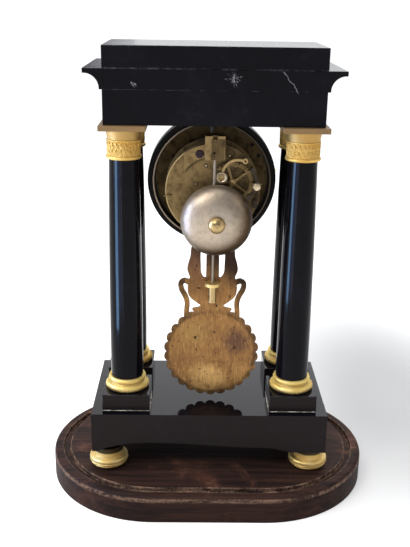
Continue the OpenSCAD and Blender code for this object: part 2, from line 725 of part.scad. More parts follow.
module cannon_pinion() color([0.62, 0.62, 0.60]) on_axis() difference() {
  union() {
    between(y_cannon, y_front - 1.2) leaves(cannon_n, m_minute, a_minute + 180 / cannon_n);
    rod_along(pipe_r, y_minute_hand - 0.8, y_front - 1.2);
  }
  rod_along(arbor_r + run_play, y_minute_hand - 2, y_front);
}
module minute_wheel() color([0.72, 0.58, 0.30]) at(minute_p) difference() {
  union() {
    between(y_minute, y_minute + minute_t) wheel_teeth(minute_n, m_minute, a_minute + 180);
    between(y_hour - 0.6, y_minute) leaves(minute_leaves, m_hour, a_minute + 180 + 180 / minute_leaves);
  }
  rod_along(arbor_r + run_play, y_hour - 2, y_front);
}
module hour_wheel() color([0.72, 0.58, 0.30]) on_axis() difference() {
  union() {
    between(y_hour, y_hour + hour_wheel_t) wheel_teeth(hour_n, m_hour, a_minute);
    rod_along(hour_pipe_r, y_hour_hand - 0.2, y_hour + hour_wheel_t);
  }
  rod_along(pipe_r + run_play, y_hour_hand - 2, y_hour + 4);
}

// Plates, pillars and feet of the movement
module pivot_holes(y0, y1) {
  for (p = train_ps) translate([p[0], 0, p[1]]) rod_along(pivot_r + run_play, y0, y1);
  for (p = pillar_ps) translate([p[0], 0, p[1]]) rod_along(1.5 + run_play, y0, y1);
}
module front_plate() color([0.66, 0.54, 0.30]) {
  on_axis() difference() {
    rod_along(plate_r, y_front, y_front + plate_t);
    pivot_holes(y_front - eps, y_front + plate_t + eps);
    rod_along(arbor_r + run_play, y_front - eps, y_front + plate_t + eps);
    for (p = [count_p, pallet_p, hammer_p]) translate([p[0], 0, p[1]]) {
      rod_along(pivot_r + run_play, y_front - eps, y_front + plate_t + eps);
    }
    for (p = [going_p, strike_p]) translate([p[0], 0, p[1]]) {
      rod_along(winding_r + run_play, y_front - eps, y_front + plate_t + eps);
    }
  }
  at(minute_p) rod_along(arbor_r, y_hour - 1.2, y_front);
}
module back_plate() color([0.66, 0.54, 0.30]) {
  on_axis() difference() {
    rod_along(plate_r, y_back - plate_t, y_back);
    pivot_holes(y_back - plate_t - eps, y_back + eps);
    rod_along(pivot_r + run_play, y_back - plate_t - eps, y_back + eps);
    for (p = [count_p, hammer_p]) translate([p[0], 0, p[1]]) {
      rod_along(arbor_r + run_play, y_back - plate_t - eps, y_back + eps);
    }
    for (p = [going_p, strike_p]) translate([p[0], 0, p[1]]) {
      rod_along(winding_r - 0.9 + run_play, y_back - plate_t - eps, y_back + eps);
    }
    translate([pallet_p[0], 0, pallet_p[1]]) rod_along(3.2, y_back - plate_t - eps, y_back + eps);
    translate([cock_screw_p[0], 0, cock_screw_p[1]]) rod_along(1.5, y_back - plate_t - eps, y_back + eps);
  }
  at(detent_p) rod_along(1.2, y_back, y_lever + 3.4);
}
module plate_pillars() color([0.66, 0.54, 0.30]) for (p = pillar_ps) at(p) difference() {
  union() {
    turned_along(concat([[0, -plate_gap / 2]],
      [for (i = [0:10]) [2.2 + 0.9 * pow(cos(i * 36), 2), -plate_gap / 2 + i * plate_gap / 10]],
      [[0, plate_gap / 2]]));
    rod_along(1.5, y_front, y_back + 4);
  }
  translate([-3, y_back + 1.6, 0]) rotate([0, 90, 0]) cylinder(r = taper_pin_r + run_play, h = 6, $fn = 24);
}
module pillar_pins() color([0.72, 0.70, 0.62]) for (p = pillar_ps) at(p) {
  translate([0, y_back + 1.6, 0]) rotate([0, p[0] > 0 ? 90 : -90, 0]) translate([0, 0, -3]) {
    cylinder(r = taper_pin_r, h = 10, $fn = 24);
  }
}
module movement_feet() color([0.66, 0.54, 0.30]) for (p = feet_ps) at(p) {
  turned_along([[0, y_false_rear], [4.2, y_false_rear], [4.2, y_false_rear + 1.6], [3, y_false_rear + 3],
    [2.4, (y_false_rear + y_front) / 2], [3, y_front - 3], [4, y_front - 1.6], [4, y_front], [0, y_front]]);
}
module ratchet_clicks() color([0.55, 0.55, 0.53]) for (p = [going_p, strike_p]) at(p) {
  s = p[0] > 0 ? 1 : -1;
  between(y_front - 2.2, y_front - 0.6) mirror([s < 0 ? 1 : 0, 0]) {
    polygon([[9.7, 0], [13.5, -2], [15.5, 2], [14, 7], [11.5, 6.6]]);
  }
  translate([s * 13, 0, 4]) rod_along(2, y_front - 3.6, y_front);
}

// Going train, from the spring barrel to the escapement
module barrel(n, m, phase) difference() {
  union() {
    rod_along(barrel_r, y_barrel, y_barrel + barrel_l);
    between(y_barrel - great_t, y_barrel) wheel_teeth(n, m, phase);
  }
  rod_along(winding_r + run_play, y_barrel - 4, y_barrel + barrel_l + 2);
}
module winding_arbor() {
  rod_along(winding_r, y_front, plate_gap / 2 - seat_play);
  rod_along(winding_r - 0.9, 0, y_back + 1);
  between(y_square_tip, y_front) square(winding_sq, center = true);
  between(y_front - 2.2, y_front - 0.6) {
    polygon([for (i = [0:23]) for (q = [[9, 0], [7.6, 1.5]]) polar(q[0], i * 15 + q[1])]);
  }
}
module going_barrel() color([0.70, 0.56, 0.30]) at(going_p) barrel(wheel_n, m_going, a_going + 180);
module going_winding_arbor() color([0.60, 0.60, 0.58]) at(going_p) winding_arbor();
module going_intermediate_wheel() color([0.72, 0.58, 0.30]) at(inter_p) {
  train_arbor();
  spoked_wheel(wheel_n, m_inter, a_inter + 180, y_inter, wheel_t);
  pinion(slow_leaves, m_going, a_going + 180 / slow_leaves, y_barrel - great_t);
}
module centre_wheel() color([0.72, 0.58, 0.30]) on_axis() {
  train_arbor();
  rod_along(arbor_r, y_arbor_tip, 0);
  spoked_wheel(wheel_n, m_centre, a_third, y_centre, wheel_t);
  pinion(slow_leaves, m_inter, a_inter + 180 / slow_leaves, y_inter);
}
module third_wheel() color([0.72, 0.58, 0.30]) at(third_p) {
  train_arbor();
  spoked_wheel(third_n, m_third, a_escape, y_third, wheel_t);
  pinion(fast_leaves, m_centre, a_third + 180 + 180 / fast_leaves, y_centre);
}
module escape_wheel() color([0.74, 0.60, 0.32]) at(escape_p) {
  thin_arbor();
  pinion(fast_leaves, m_third, a_escape + 180 + 180 / fast_leaves, y_third);
  between(y_escape, y_escape + wheel_t) difference() {
    root_r = escape_r - 2;
    polygon([for (i = [0:31]) for (q = [[root_r, 0], [escape_r, 3.4], [escape_r, 4.6], [root_r, 7.4]])
      polar(q[0], i * 11.25 + q[1])]);
    crossings(escape_r - 3.4, 2.6, 4, 1.4);
  }
}
module pallet_anchor() color([0.66, 0.67, 0.68]) {
  reach = escape_p - pallet_p;
  away = norm(reach);
  lean = atan2(reach[1], reach[0]) + 90;
  span = escape_r + 2.2;
  at(pallet_p) {
    rod_along(arbor_r, -plate_gap / 2 + seat_play, slot_floor - 5 - seat_play);
    rod_along(pivot_r, y_front, slot_floor - 1);
    rod_along(3, y_back + 2, y_back + 6);
    rod_along(2.6, y_escape - 0.6, y_escape + wheel_t + 0.6);
    for (s = [-1, 1]) between(y_escape - 0.6, y_escape + wheel_t + 0.6) rotate(lean) {
      polygon(ribbon(smooth([[0, 0], [s * span * 0.42, -away * 0.05], [s * span * 0.8, -away * 0.26],
        [s * span, -away * 0.52], [s * span, -away * 0.72]], 4), 2));
    }
    drop = crutch_end - pallet_p[1];
    y_top = y_back + 4;
    wire([[0, y_top, -1], [0, y_top, -9], [0, crutch_y, -11], [0, crutch_y, drop], [0, rod_y + 3, drop]],
      crutch_r);
  }
}

// Strike train, from the spring barrel to the fly
module strike_barrel() color([0.70, 0.56, 0.30]) at(strike_p) barrel(wheel_n, m_strike, a_strike + 180);
module strike_winding_arbor() color([0.60, 0.60, 0.58]) at(strike_p) winding_arbor();
module strike_intermediate_wheel() color([0.72, 0.58, 0.30]) at(count_p) {
  train_arbor();
  rod_along(arbor_r, 0, y_count + wheel_t + 1.6);
  spoked_wheel(wheel_n, m_pin, a_pin, y_inter, wheel_t);
  pinion(slow_leaves, m_strike, a_strike + 180 / slow_leaves, y_barrel - great_t);
}
module count_wheel() color([0.72, 0.60, 0.34]) at(count_p) difference() {
  union() {
    between(y_count, y_count + wheel_t) difference() {
      circle(count_r);
      crossings(count_r - 4.2, 4, 5, 2.2);
      for (k = [1:12]) rotate(4 * (k * (k + 1) / 2 + k)) translate([count_r - 2, -0.9]) square([4, 1.8]);
    }
    rod_along(2.4, y_count - 3, y_count + wheel_t + 1);
  }
  rod_along(arbor_r + run_play, y_count - 4, y_count + 4);
}
module pin_wheel() color([0.72, 0.58, 0.30]) at(pin_p) {
  train_arbor();
  spoked_wheel(wheel_n, m_warning, a_warning, y_pin, wheel_t);
  pinion(fast_leaves, m_pin, a_pin + 180 + 180 / fast_leaves, y_inter);
  for (i = [0:9]) rotate([0, i * 36, 0]) translate([pin_ring_r, 0, 0]) {
    rod_along(0.7, y_pin + 0.2, y_pin + 5.5, $fn = 16);
  }
}
module warning_wheel() color([0.72, 0.58, 0.30]) at(warning_p) {
  thin_arbor();
  spoked_wheel(warning_n, m_fly, a_fly, y_warning, wheel_t);
  pinion(fast_leaves, m_warning, a_warning + 180 + 180 / fast_leaves, y_pin);
}
module fly() color([0.74, 0.62, 0.34]) at(fly_p) {
  thin_arbor();
  pinion(fast_leaves, m_fly, a_fly + 180 + 180 / fast_leaves, y_warning);
  between(y_fly, y_fly + 6) square([11, 0.8], center = true);
  rod_along(1.7, y_fly, y_fly + 6);
}

// Striking work behind the back plate
module detent_lever() color([0.74, 0.62, 0.36]) difference() {
  union() {
    on_axis() between(y_lever, y_lever + 2.4) {
      polygon(ribbon(smooth([detent_p, [-27, 35.2], [-19, 33.6], [-12, 27], [-9, 16]], 4), 2.6));
      translate(detent_p) circle(3);
    }
    at([-9, 16]) turned_along([[0, y_lever - 0.2], [6, y_lever - 0.2], [6, y_lever + 2], [5, y_lever + 3],
      [3.4, y_lever + 2.2], [2, y_lever + 2.2], [2, y_lever + 3.2], [0, y_lever + 3.2]]);
    at(count_p + [2.4, count_r + 0.9 + 0.5]) rod_along(0.9, y_count - 0.2, y_lever + 1);
  }
  at(detent_p) rod_along(1.2 + run_play, y_lever - 2, y_lever + 5);
}
module hammer() color([0.60, 0.58, 0.52]) {
  arm_y = crutch_y + 1;
  at(hammer_p) {
    train_arbor();
    rod_along(arbor_r, 0, arm_y + 3);
    rod_along(2.6, arm_y - 1, arm_y + 3);
    between(y_pin + 2.4, y_pin + 4.4) polygon([[-1.6, 1.6], [0, -2], [tail_reach, -0.2], [tail_reach, 1.4]]);
    rod_along(2, y_pin + 1.4, y_pin + 5.4);
  }
  on_axis() between(arm_y, arm_y + 2) {
    polygon(ribbon(smooth([hammer_p, [-46, 16], hammer_boss_p, [-43, 1], head_p], 5), 2.4));
  }
  at(hammer_boss_p) rod_along(3.4, arm_y - 0.5, arm_y + 4);
  at(head_p) {
    rod_along(head_r, bell_rim_y - 1, bell_rim_y + 5);
    rod_along(1.4, arm_y, bell_rim_y);
  }
}
module hammer_spring() color([0.45, 0.46, 0.50]) on_axis() {
  between(y_back, y_back + 5) translate([-46, -13.5]) square([5, 8], center = true);
  between(y_back + 2.6, y_back + 4.8) {
    polygon(ribbon(smooth([[-46.5, -10], [-48.2, -2], [-49.3, 9], [-47.6, 16]], 4), 0.8));
  }
}
module bell_stand() color([0.42, 0.42, 0.44]) {
  a = [stand_p[0], stand_y, axis_z + stand_p[1]];
  b = [bell_p[0], stand_y, axis_z + bell_p[1]];
  crown = bell_rim_y + bell_h;
  at(stand_p) {
    rod_along(stand_flange_r, y_back, y_back + 3);
    rod_along(stand_r, y_back, stand_y);
  }
  wire([a, b], stand_r);
  at(bell_p) {
    rod_along(stand_r, stand_y, crown - bell_t - 3);
    rod_along(2 * stand_r, crown - bell_t - 3, crown - bell_t - run_play);
    rod_along(bell_stud_r, crown - bell_t - 3, crown + 6);
  }
}
module bell() color([0.58, 0.55, 0.52]) at(bell_p) difference() {
  inner = bell_curve(bell_r - bell_t, bell_h - bell_t);
  turned_along(concat(bell_curve(bell_r, bell_h), [for (i = [len(inner) - 1:-1:0]) inner[i]]));
  rod_along(bell_stud_r + tie_play, bell_rim_y, bell_rim_y + 2 * bell_h);
}
module bell_nut() color([0.78, 0.64, 0.34]) at(bell_p) {
  crown = bell_rim_y + bell_h + run_play;
  difference() {
    turned_along(concat([[0, crown], [9, crown], [9, crown + 1.6]],
      [for (a = [10:16:90]) [8.8 * cos(a), crown + 1.8 + 6.2 * sin(a)]], [[0, crown + 8]]));
    rod_along(bell_stud_r + run_play, crown - 1, crown + 6.2);
    rod_along(1.2, crown + 7, crown + 9);
  }
}

// Suspension
module suspension_cock() color([0.74, 0.62, 0.34]) on_axis() difference() {
  union() {
    between(y_back, y_back + cock_t) intersection() {
      difference() {
        circle(plate_r - 0.2);
        circle(plate_r - 13.7);
      }
      translate([cock_block[1] - 1, 0]) square([23, plate_r]);
    }
    between(y_back, y_block_rear) translate([cock_block[0], cock_block[2]]) {
      square([cock_block[1] - cock_block[0], cock_block[3] - cock_block[2]]);
    }
  }
  translate([pend_x - slot_w / 2, slot_floor, 0]) cube([slot_w, 20, 2 * plate_r]);
  tunnel = slot_floor - 5 - y_back + eps;
  translate([pend_x - slot_w, y_back - eps, 0]) cube([2 * slot_w, tunnel, pallet_p[1] + 6]);
  translate([pallet_p[0], 0, pallet_p[1]]) rod_along(pivot_r + run_play, y_back, rod_y);
  translate([cock_screw_p[0], 0, cock_screw_p[1]]) rod_along(1.5, y_back - eps, y_back + cock_t + eps);
  translate([pend_x - slot_w, rod_y, hang_z - axis_z]) rotate([0, 90, 0]) {
    cylinder(r = 0.95, h = 2 * slot_w, $fn = 24);
  }
}
module cock_screw() color([0.16, 0.18, 0.34]) at(cock_screw_p) difference() {
  union() {
    rod_along(3.2, y_back + cock_t, y_back + cock_t + 1.8);
    rod_along(1.4, y_back - plate_t, y_back + cock_t + 1);
  }
  translate([-4, y_back + cock_t + 1, -0.4]) cube([8, 2, 0.8]);
}
module suspension_spring() color([0.62, 0.62, 0.60]) translate([pend_x, rod_y, 0]) {
  translate([-slot_w + 0.5, 0, hang_z]) rotate([0, 90, 0]) cylinder(r = 0.9, h = 2 * slot_w - 1, $fn = 24);
  translate([-2, -0.25, pend_z + flex_gap]) cube([4, 0.5, hang_z - pend_z - flex_gap]);
  translate([-2.2, -1.2, hang_z - 3]) cube([4.4, 2.4, 3]);
}

// Pendulum
module pendulum_rod() color([0.70, 0.71, 0.73]) translate([pend_x, rod_y, 0]) {
  z_eye = axis_z + crutch_end;
  difference() {
    union() {
      translate([0, 0, nut_z - nut_l]) cylinder(r = rod_r, h = pend_z - 5 - nut_z + nut_l);
      translate([-2, -1.5, pend_z - 7]) cube([4, 3, 7 - flex_gap]);
      translate([-3, -1.5, z_eye - 7]) cube([6, 3, 14]);
    }
    translate([-crutch_r - 0.4, -3, z_eye - 4]) cube([2 * crutch_r + 0.8, 6, 8]);
  }
}
module rating_nut() color([0.78, 0.64, 0.34]) translate([pend_x, rod_y, nut_z - nut_l]) difference() {
  union() {
    cylinder(r = nut_r, h = nut_l - 0.1);
    cylinder(r = nut_r + 0.5, h = 2.5);
  }
  drill(rod_r + run_play, nut_l);
}
module lyre_outline() {
  edge = smooth(stretched(lyre_edge), 4);
  difference() {
    for (s = [0, 1]) mirror([s, 0]) polygon(concat([[0, lyre_foot]], edge));
    for (s = [0, 1]) mirror([s, 0]) polygon(smooth(stretched(concat(lyre_gap, [lyre_gap[0]])), 4));
  }
  for (s = [0, 1]) mirror([s, 0]) polygon(ribbon(smooth(stretched(lyre_loop), 4), loop_w));
}
module pendulum_bob() color([0.62, 0.44, 0.20]) translate([pend_x, 0, rosette_z]) {
  scallop_r = rosette_r * sin(180 / scallops) * 0.98;
  ring = rosette_r - scallop_r;
  difference() {
    union() {
      between(bob_front, bob_rear) {
        circle(ring + 0.4);
        for (i = [0.5:scallops - 0.5]) rotate(i * 360 / scallops) translate([ring, 0]) circle(scallop_r);
        lyre_outline();
      }
      translate([0, rod_y, nut_up]) cylinder(r = lug_r, h = lug_t);
    }
    translate([0, rod_y, nut_up - 1]) cylinder(r = rod_r + 0.1, h = lug_t + 2);
  }
  turned_along(concat([[0, bob_front + 1]], [[17, bob_front + 1]],
    [for (a = [0:15:90]) [17 * cos(a), bob_front - 6 * sin(a)]]));
  for (r = [24, 42]) rotate([90, 0, 0]) translate([0, 0, -bob_front]) {
    rotate_extrude() translate([r, 0]) circle(2, $fn = 24);
  }
  for (i = [0:23]) rotate([0, i * 15, 0]) translate([33, bob_front - 0.4, 0]) sphere(2.6, $fn = 24);
}

dome_base();
feet();
foot_studs();
plinth();
column_blocks();
column_bases();
column_shafts();
capitals();
tie_rods();
tie_nuts();
frieze();
cornice();
attic_slab();
drum_ring();
drum_tube();
drum_saddle();
drum_bolt();
bezel();
bezel_hinge();
glass();
false_plate();
dial();
hour_hand();
minute_hand();
hand_collet();
cannon_pinion();
minute_wheel();
hour_wheel();
front_plate();
back_plate();
plate_pillars();
pillar_pins();
movement_feet();
ratchet_clicks();
going_barrel();
going_winding_arbor();
going_intermediate_wheel();
centre_wheel();
third_wheel();
escape_wheel();
pallet_anchor();
strike_barrel();
strike_winding_arbor();
strike_intermediate_wheel();
count_wheel();
pin_wheel();
warning_wheel();
fly();
detent_lever();
hammer();
hammer_spring();
bell_stand();
bell();
bell_nut();
suspension_cock();
cock_screw();
suspension_spring();
pendulum_rod();
rating_nut();
pendulum_bob();
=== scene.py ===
import json
import math

import bmesh
import bpy
import numpy as np
from mathutils import Matrix, Vector

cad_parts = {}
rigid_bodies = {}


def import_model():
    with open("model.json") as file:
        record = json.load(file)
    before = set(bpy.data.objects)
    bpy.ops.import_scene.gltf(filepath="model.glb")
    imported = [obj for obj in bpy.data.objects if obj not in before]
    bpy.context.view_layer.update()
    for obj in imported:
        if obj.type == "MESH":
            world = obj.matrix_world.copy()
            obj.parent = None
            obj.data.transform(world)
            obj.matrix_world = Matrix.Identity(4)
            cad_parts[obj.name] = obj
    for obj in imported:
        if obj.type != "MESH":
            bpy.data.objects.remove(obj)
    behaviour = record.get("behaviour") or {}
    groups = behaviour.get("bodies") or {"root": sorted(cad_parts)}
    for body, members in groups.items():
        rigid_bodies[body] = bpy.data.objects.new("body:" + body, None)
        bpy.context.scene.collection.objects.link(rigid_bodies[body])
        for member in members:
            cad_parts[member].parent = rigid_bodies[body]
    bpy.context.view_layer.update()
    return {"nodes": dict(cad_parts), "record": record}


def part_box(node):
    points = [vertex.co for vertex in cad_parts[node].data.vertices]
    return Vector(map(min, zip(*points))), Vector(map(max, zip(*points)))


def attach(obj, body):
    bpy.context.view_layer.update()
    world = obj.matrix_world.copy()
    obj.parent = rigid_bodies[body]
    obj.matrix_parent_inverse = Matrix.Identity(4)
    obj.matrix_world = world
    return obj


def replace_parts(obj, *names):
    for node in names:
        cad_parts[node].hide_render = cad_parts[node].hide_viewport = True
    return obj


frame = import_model()
nodes = frame["nodes"]
record = frame["record"]
scene = bpy.context.scene
bodyOf = {node: body for body, held in record["behaviour"]["bodies"].items() for node in held}
print("frame loaded:", len(nodes), "nodes")


# camera, floor and light
columnAim = (0.094, 0.036, 0.26)      # on a rear column
studio = {
    "place": (0.0207, 0.8932, 0.5515),
    "ahead": (-0.01515, -0.94657, -0.32215),
    "roll": 0.016,
    "lens": 54.24,
    "sensor": 36,
    "clip": (0.05, 3000),
    "floorHalf": 900,
    "floorDrop": 0.0004,                 # just under the base
    "floorTone": 0.52,
    "floorLift": 0.80,                   # white added to the paper
    "shade": (0.26, 0.10, 0.0),          # less of it round here, where the soft shadow lies
    "shadeFade": (0.03, 0.29),
    "worldLow": (0.05, 0.05, 0.06, 1),
    "worldHigh": (0.80, 0.82, 0.86, 1),
    "worldShares": (0.55, 0.42, 0.20, 0.95),          # level, then by y, by z and by the dark corner
    "worldCorner": ((0.05, 0.15), (-0.70, -0.95)),    # where it lies, by x and y
    "lamps": {              # place, aim, width, height, watts, colour
        "windowLamp": ((1.75, 0.55, 0.75), (0, 0, 0.25), 0.8, 1.5, 14, (0.90, 0.95, 1.0)),
        "keyLamp": ((0.75, 0.95, 1.45), (0, 0, 0.25), 0.7, 0.7, 12, (1.0, 0.98, 0.95)),
        "fillLamp": ((-1.5, 0.8, 0.9), (0, 0, 0.25), 0.7, 1.0, 3.4, (1.0, 0.98, 0.96)),
        "frontLamp": ((0.05, -1.3, 1.25), (0, 0, 0.3), 1.5, 1.2, 11, (1.0, 1.0, 1.0)),
        "topLamp": ((0.0, -0.25, 1.7), (0, 0, 0.2), 1.2, 0.9, 13, (1.0, 1.0, 1.0)),
    },
    "panels": {             # the same, mirrored in what shines and lighting nothing else
        "metalPanel": ((0.57, 0.14, 0.26), columnAim, 0.26, 0.62, 4.6, (0.36, 0.52, 1.0)),
        "horizonPanel": ((-0.20, -1.6, 0.615), (-0.1, 0, 0.5), 0.8, 0.16, 0.13, (1.0, 0.99, 0.95)),
        "bluePanel": ((0.509, 0.291, 0.26), columnAim, 0.17, 0.62, 10.5, (0.28, 0.58, 1.0)),
        "dimPanel": ((0.480, 0.470, 0.26), columnAim, 0.38, 0.62, 3.2, (0.32, 0.45, 1.0)),
        "thinPanel": ((0.26, 0.55, 0.26), columnAim, 0.008, 0.60, 0.35, (0.9, 0.95, 1.0)),
    },
    "shaftView": {          # which panels only the column shafts mirror, and which they don't
        "metalPanel": "EXCLUDE", "bluePanel": "INCLUDE", "dimPanel": "INCLUDE", "thinPanel": "INCLUDE",
    },
}


def setCamera():
    ahead = Vector(studio["ahead"]).normalized()
    right = ahead.cross(Vector((0, 0, 1))).normalized()
    up = right.cross(ahead)
    c, s = math.cos(studio["roll"]), math.sin(studio["roll"])
    across, upward = c * right + s * up, c * up - s * right
    turn = Matrix((across, upward, -ahead)).transposed().to_4x4()
    data = bpy.data.cameras.new("photoCamera")
    data.lens, data.sensor_width = studio["lens"], studio["sensor"]
    data.clip_start, data.clip_end = studio["clip"]
    made = bpy.data.objects.new("photoCamera", data)
    made.matrix_world = Matrix.Translation(studio["place"]) @ turn
    scene.collection.objects.link(made)
    scene.camera = made


def setLamps():
    rows = {**studio["lamps"], **studio["panels"]}
    for name, (place, aim, width, height, watts, tint) in rows.items():
        data = bpy.data.lights.new(name, "AREA")
        data.shape, data.size, data.size_y, data.energy = "RECTANGLE", width, height, watts
        data.color = tint
        made = bpy.data.objects.new(name, data)
        made.location = place
        made.rotation_euler = (Vector(aim) - Vector(place)).to_track_quat("-Z", "Y").to_euler()
        made.visible_camera = False
        made.visible_diffuse = name not in studio["panels"]
        if name in studio["shaftView"]:
            seen = bpy.data.collections.new(name + "Seen")
            seen.objects.link(nodes["column_shafts"])
            seen.collection_objects[0].light_linking.link_state = studio["shaftView"][name]
            made.light_linking.receiver_collection = seen
        scene.collection.objects.link(made)


def operator(operation, swapped=False):
    def combine(self, other):
        return self.graph.sum(operation, *((other, self) if swapped else (self, other)))
    return combine


# one socket of a node graph, so that sums on it read as sums
class Wire:
    __add__, __radd__ = operator("ADD"), operator("ADD", True)
    __sub__, __rsub__ = operator("SUBTRACT"), operator("SUBTRACT", True)
    __mul__, __rmul__ = operator("MULTIPLY"), operator("MULTIPLY", True)
    __truediv__, __pow__ = operator("DIVIDE"), operator("POWER")

    def __init__(self, graph, socket):
        self.graph, self.socket = graph, socket

    def part(self, name):
        return Wire(self.graph, self.socket.node.outputs[name])

    def step(self, low, high):
        return self.graph.node("MapRange", {"interpolation_type": "SMOOTHSTEP"},
                               {"Value": self, "From Min": low, "From Max": high})

    def band(self, rise, fall):
        return self.step(*rise) * self.step(*fall)

    def size(self):
        return self.graph.node("Math", {"operation": "ABSOLUTE"}, {0: self})

    def most(self, other):
        return self.graph.sum("MAXIMUM", self, other)


class Graph:
    family = "ShaderNode"

    def __init__(self, tree):
        self.tree = tree

    def node(self, kind, settings=None, inputs=None, output=0):
        made = self.tree.nodes.new(kind if "Node" in kind else self.family + kind)
        for key, value in (settings or {}).items():
            setattr(made, key, value)
        for key, value in (inputs or {}).items():
            if isinstance(value, Wire):
                self.tree.links.new(value.socket, made.inputs[key])
            else:
                made.inputs[key].default_value = value
        return Wire(self, made.outputs[output]) if made.outputs else None

    def sum(self, operation, a, b):
        return self.node("ShaderNodeMath", {"operation": operation}, {0: a, 1: b})

    def place(self):
        return self.node("TexCoord", None, None, "Object")

    def held(self, name):
        return self.node("Attribute", {"attribute_name": name}, None, "Fac")

    def shift(self, vector, scale=(1, 1, 1), move=(0, 0, 0)):
        return self.node("Mapping", None, {"Vector": vector, "Location": move, "Scale": scale})

    def noise(self, vector, scale, detail=4.0, rough=0.55, bend=0.0):
        return self.node("TexNoise", None, {"Vector": vector, "Scale": scale, "Detail": detail,
                                            "Roughness": rough, "Distortion": bend}, "Fac")

    def cells(self, vector, scale, feature="F1"):
        return self.node("TexVoronoi", {"feature": feature}, {"Vector": vector, "Scale": scale}, "Distance")

    def mix(self, share, a, b):
        return self.node("Mix", {"data_type": "RGBA"}, {0: share, 6: a, 7: b}, 2)

    def axes(self, vector):
        split = self.node("SeparateXYZ", None, {0: vector}, "X")
        return split, split.part("Y"), split.part("Z")

    def join(self, x, y, z):
        return self.node("ShaderNodeCombineXYZ", None, {0: x, 1: y, 2: z})


class Finish(Graph):
    def __init__(self, name):
        self.material = bpy.data.materials.new(name)
        self.material.use_nodes = True
        super().__init__(self.material.node_tree)
        self.shader = self.tree.nodes["Principled BSDF"]

    def done(self, tint, rough, metal=0.0, height=None, lift=0.0005, fixed=None):
        for name, value in (("Base Color", tint), ("Roughness", rough), ("Metallic", metal)):
            if isinstance(value, Wire):
                self.tree.links.new(value.socket, self.shader.inputs[name])
            else:
                self.shader.inputs[name].default_value = value
        if height is not None:
            bump = self.node("Bump", None, {"Strength": 1.0, "Distance": lift, "Height": height})
            self.tree.links.new(bump.socket, self.shader.inputs["Normal"])
        for name, value in (fixed or {}).items():
            self.shader.inputs[name].default_value = value
        return self.material


def tone(red, green, blue):
    linear = [c / 255 / 12.92 if c < 11 else ((c / 255 + 0.055) / 1.055) ** 2.4 for c in (red, green, blue)]
    return (*linear, 1.0)


def distance(across, upward):
    return (across * across + upward * upward) ** 0.5


def setFloor():
    half = studio["floorHalf"]
    corners = [(-half, -half, 0), (half, -half, 0), (half, half, 0), (-half, half, 0)]
    mesh = bpy.data.meshes.new("floorSheet")
    mesh.from_pydata(corners, [], [(0, 1, 2, 3)])
    sheet = bpy.data.objects.new("floorSheet", mesh)
    sheet.location.z = -studio["floorDrop"]
    scene.collection.objects.link(sheet)
    finish = Finish("palePaper")
    level = studio["floorTone"]
    rays = finish.node("LightPath", None, None, "Is Camera Ray")
    seen = rays + rays.part("Is Glossy Ray") + rays.part("Is Transmission Ray")
    aside = finish.shift(finish.place(), (1, 0.5, 1), studio["shade"])
    away = finish.node("VectorMath", {"operation": "LENGTH"}, {0: aside}, "Value")
    white = seen * studio["floorLift"] * away.step(*studio["shadeFade"])
    glow = finish.node("Emission", None, {"Color": (1, 1, 1, 1), "Strength": white})
    plain = finish.node("BsdfDiffuse", None, {"Color": (level, level, level, 1)})
    both = finish.node("AddShader", None, {0: plain, 1: glow})
    finish.tree.links.new(both.socket, finish.tree.nodes["Material Output"].inputs["Surface"])
    mesh.materials.append(finish.material)


def setWorld():
    world = bpy.data.worlds.new("softRoom")
    world.use_nodes = True
    scene.world = world
    sky = Graph(world.node_tree)
    x, y, z = sky.axes(sky.node("TexCoord", None, None, "Generated"))
    across, behind = studio["worldCorner"]
    level, byY, byZ, byCorner = studio["worldShares"]
    corner = x.step(*across) * y.step(*behind)
    share = level - byY * y + byZ * z - byCorner * corner
    tint = sky.mix(share, studio["worldLow"], studio["worldHigh"])
    world.node_tree.links.new(tint.socket, world.node_tree.nodes["Background"].inputs["Color"])


scene.view_settings.view_transform = "Standard"
setCamera()
setLamps()
setFloor()
setWorld()
print("studio set")


# black marble, polished or left dull at the rear
stone = {
    "deep": tone(11, 10, 16),
    "haze": tone(25, 24, 34),
    "dull": tone(40, 33, 32),
    "bend": 1.18,                             # a wax-dulled polish, so edges stay dark
    "vein": tone(120, 122, 130),
    "bruised": tone(205, 206, 214),
    "rear": (0.0515, 0.0525),                 # the marks lie behind this
    "bruise": (-0.0190, 0.4712, 0.0085),      # x, z and size of the white star on the rear
    "crack": ((-0.0672, 0.4790), (-0.0852, 0.4570)),
    "crackLine": (0.0006, 0.0001),
    "crackEnds": (0.002, 0.004),
    "wander": 0.006,
    "chip": (0.0812, 0.4640, 0.0042),         # x, z and size
    "chipSlant": (1.6, 0.9),
}


def rearMarks(f, place):
    x, y, z = f.axes(place)
    rear = y.step(*stone["rear"])
    speck = f.noise(place, 620, 3)
    bx, bz, size = stone["bruise"]
    away = distance(x - bx, z - bz)
    spokes = f.noise(f.join((x - bx) / away, 0.0, (z - bz) / away), 5.5, 2)
    reach = spokes.step(0.35, 0.75) * 1.1 + 0.35
    star = (away / reach).step(size, size * 0.2) * speck.step(0.42, 0.66)
    (ax, az), (ex, ez) = stone["crack"]
    length = math.hypot(ex - ax, ez - az)
    dx, dz = (ex - ax) / length, (ez - az) / length
    begun, ended = stone["crackEnds"]
    wander = (f.noise(place, 130, 3) - 0.5) * stone["wander"]
    along = (x - ax) * dx + (z - az) * dz
    across = ((x - ax) * dz - (z - az) * dx + wander).size()
    crack = across.step(*stone["crackLine"]) * along.band((0.0, begun), (length, length - ended))
    cx, cz, wide = stone["chip"]
    steep, slant = stone["chipSlant"]
    ragged = (f.noise(place, 300, 3) - 0.5) * stone["wander"]
    near = distance(x - cx, (z - cz) * steep - (x - cx) * slant) + ragged
    chip = near.step(wide, wide * 0.4) * speck.step(0.44, 0.60)
    return rear * (star * 0.60 + crack * 0.34 + chip * 0.5)


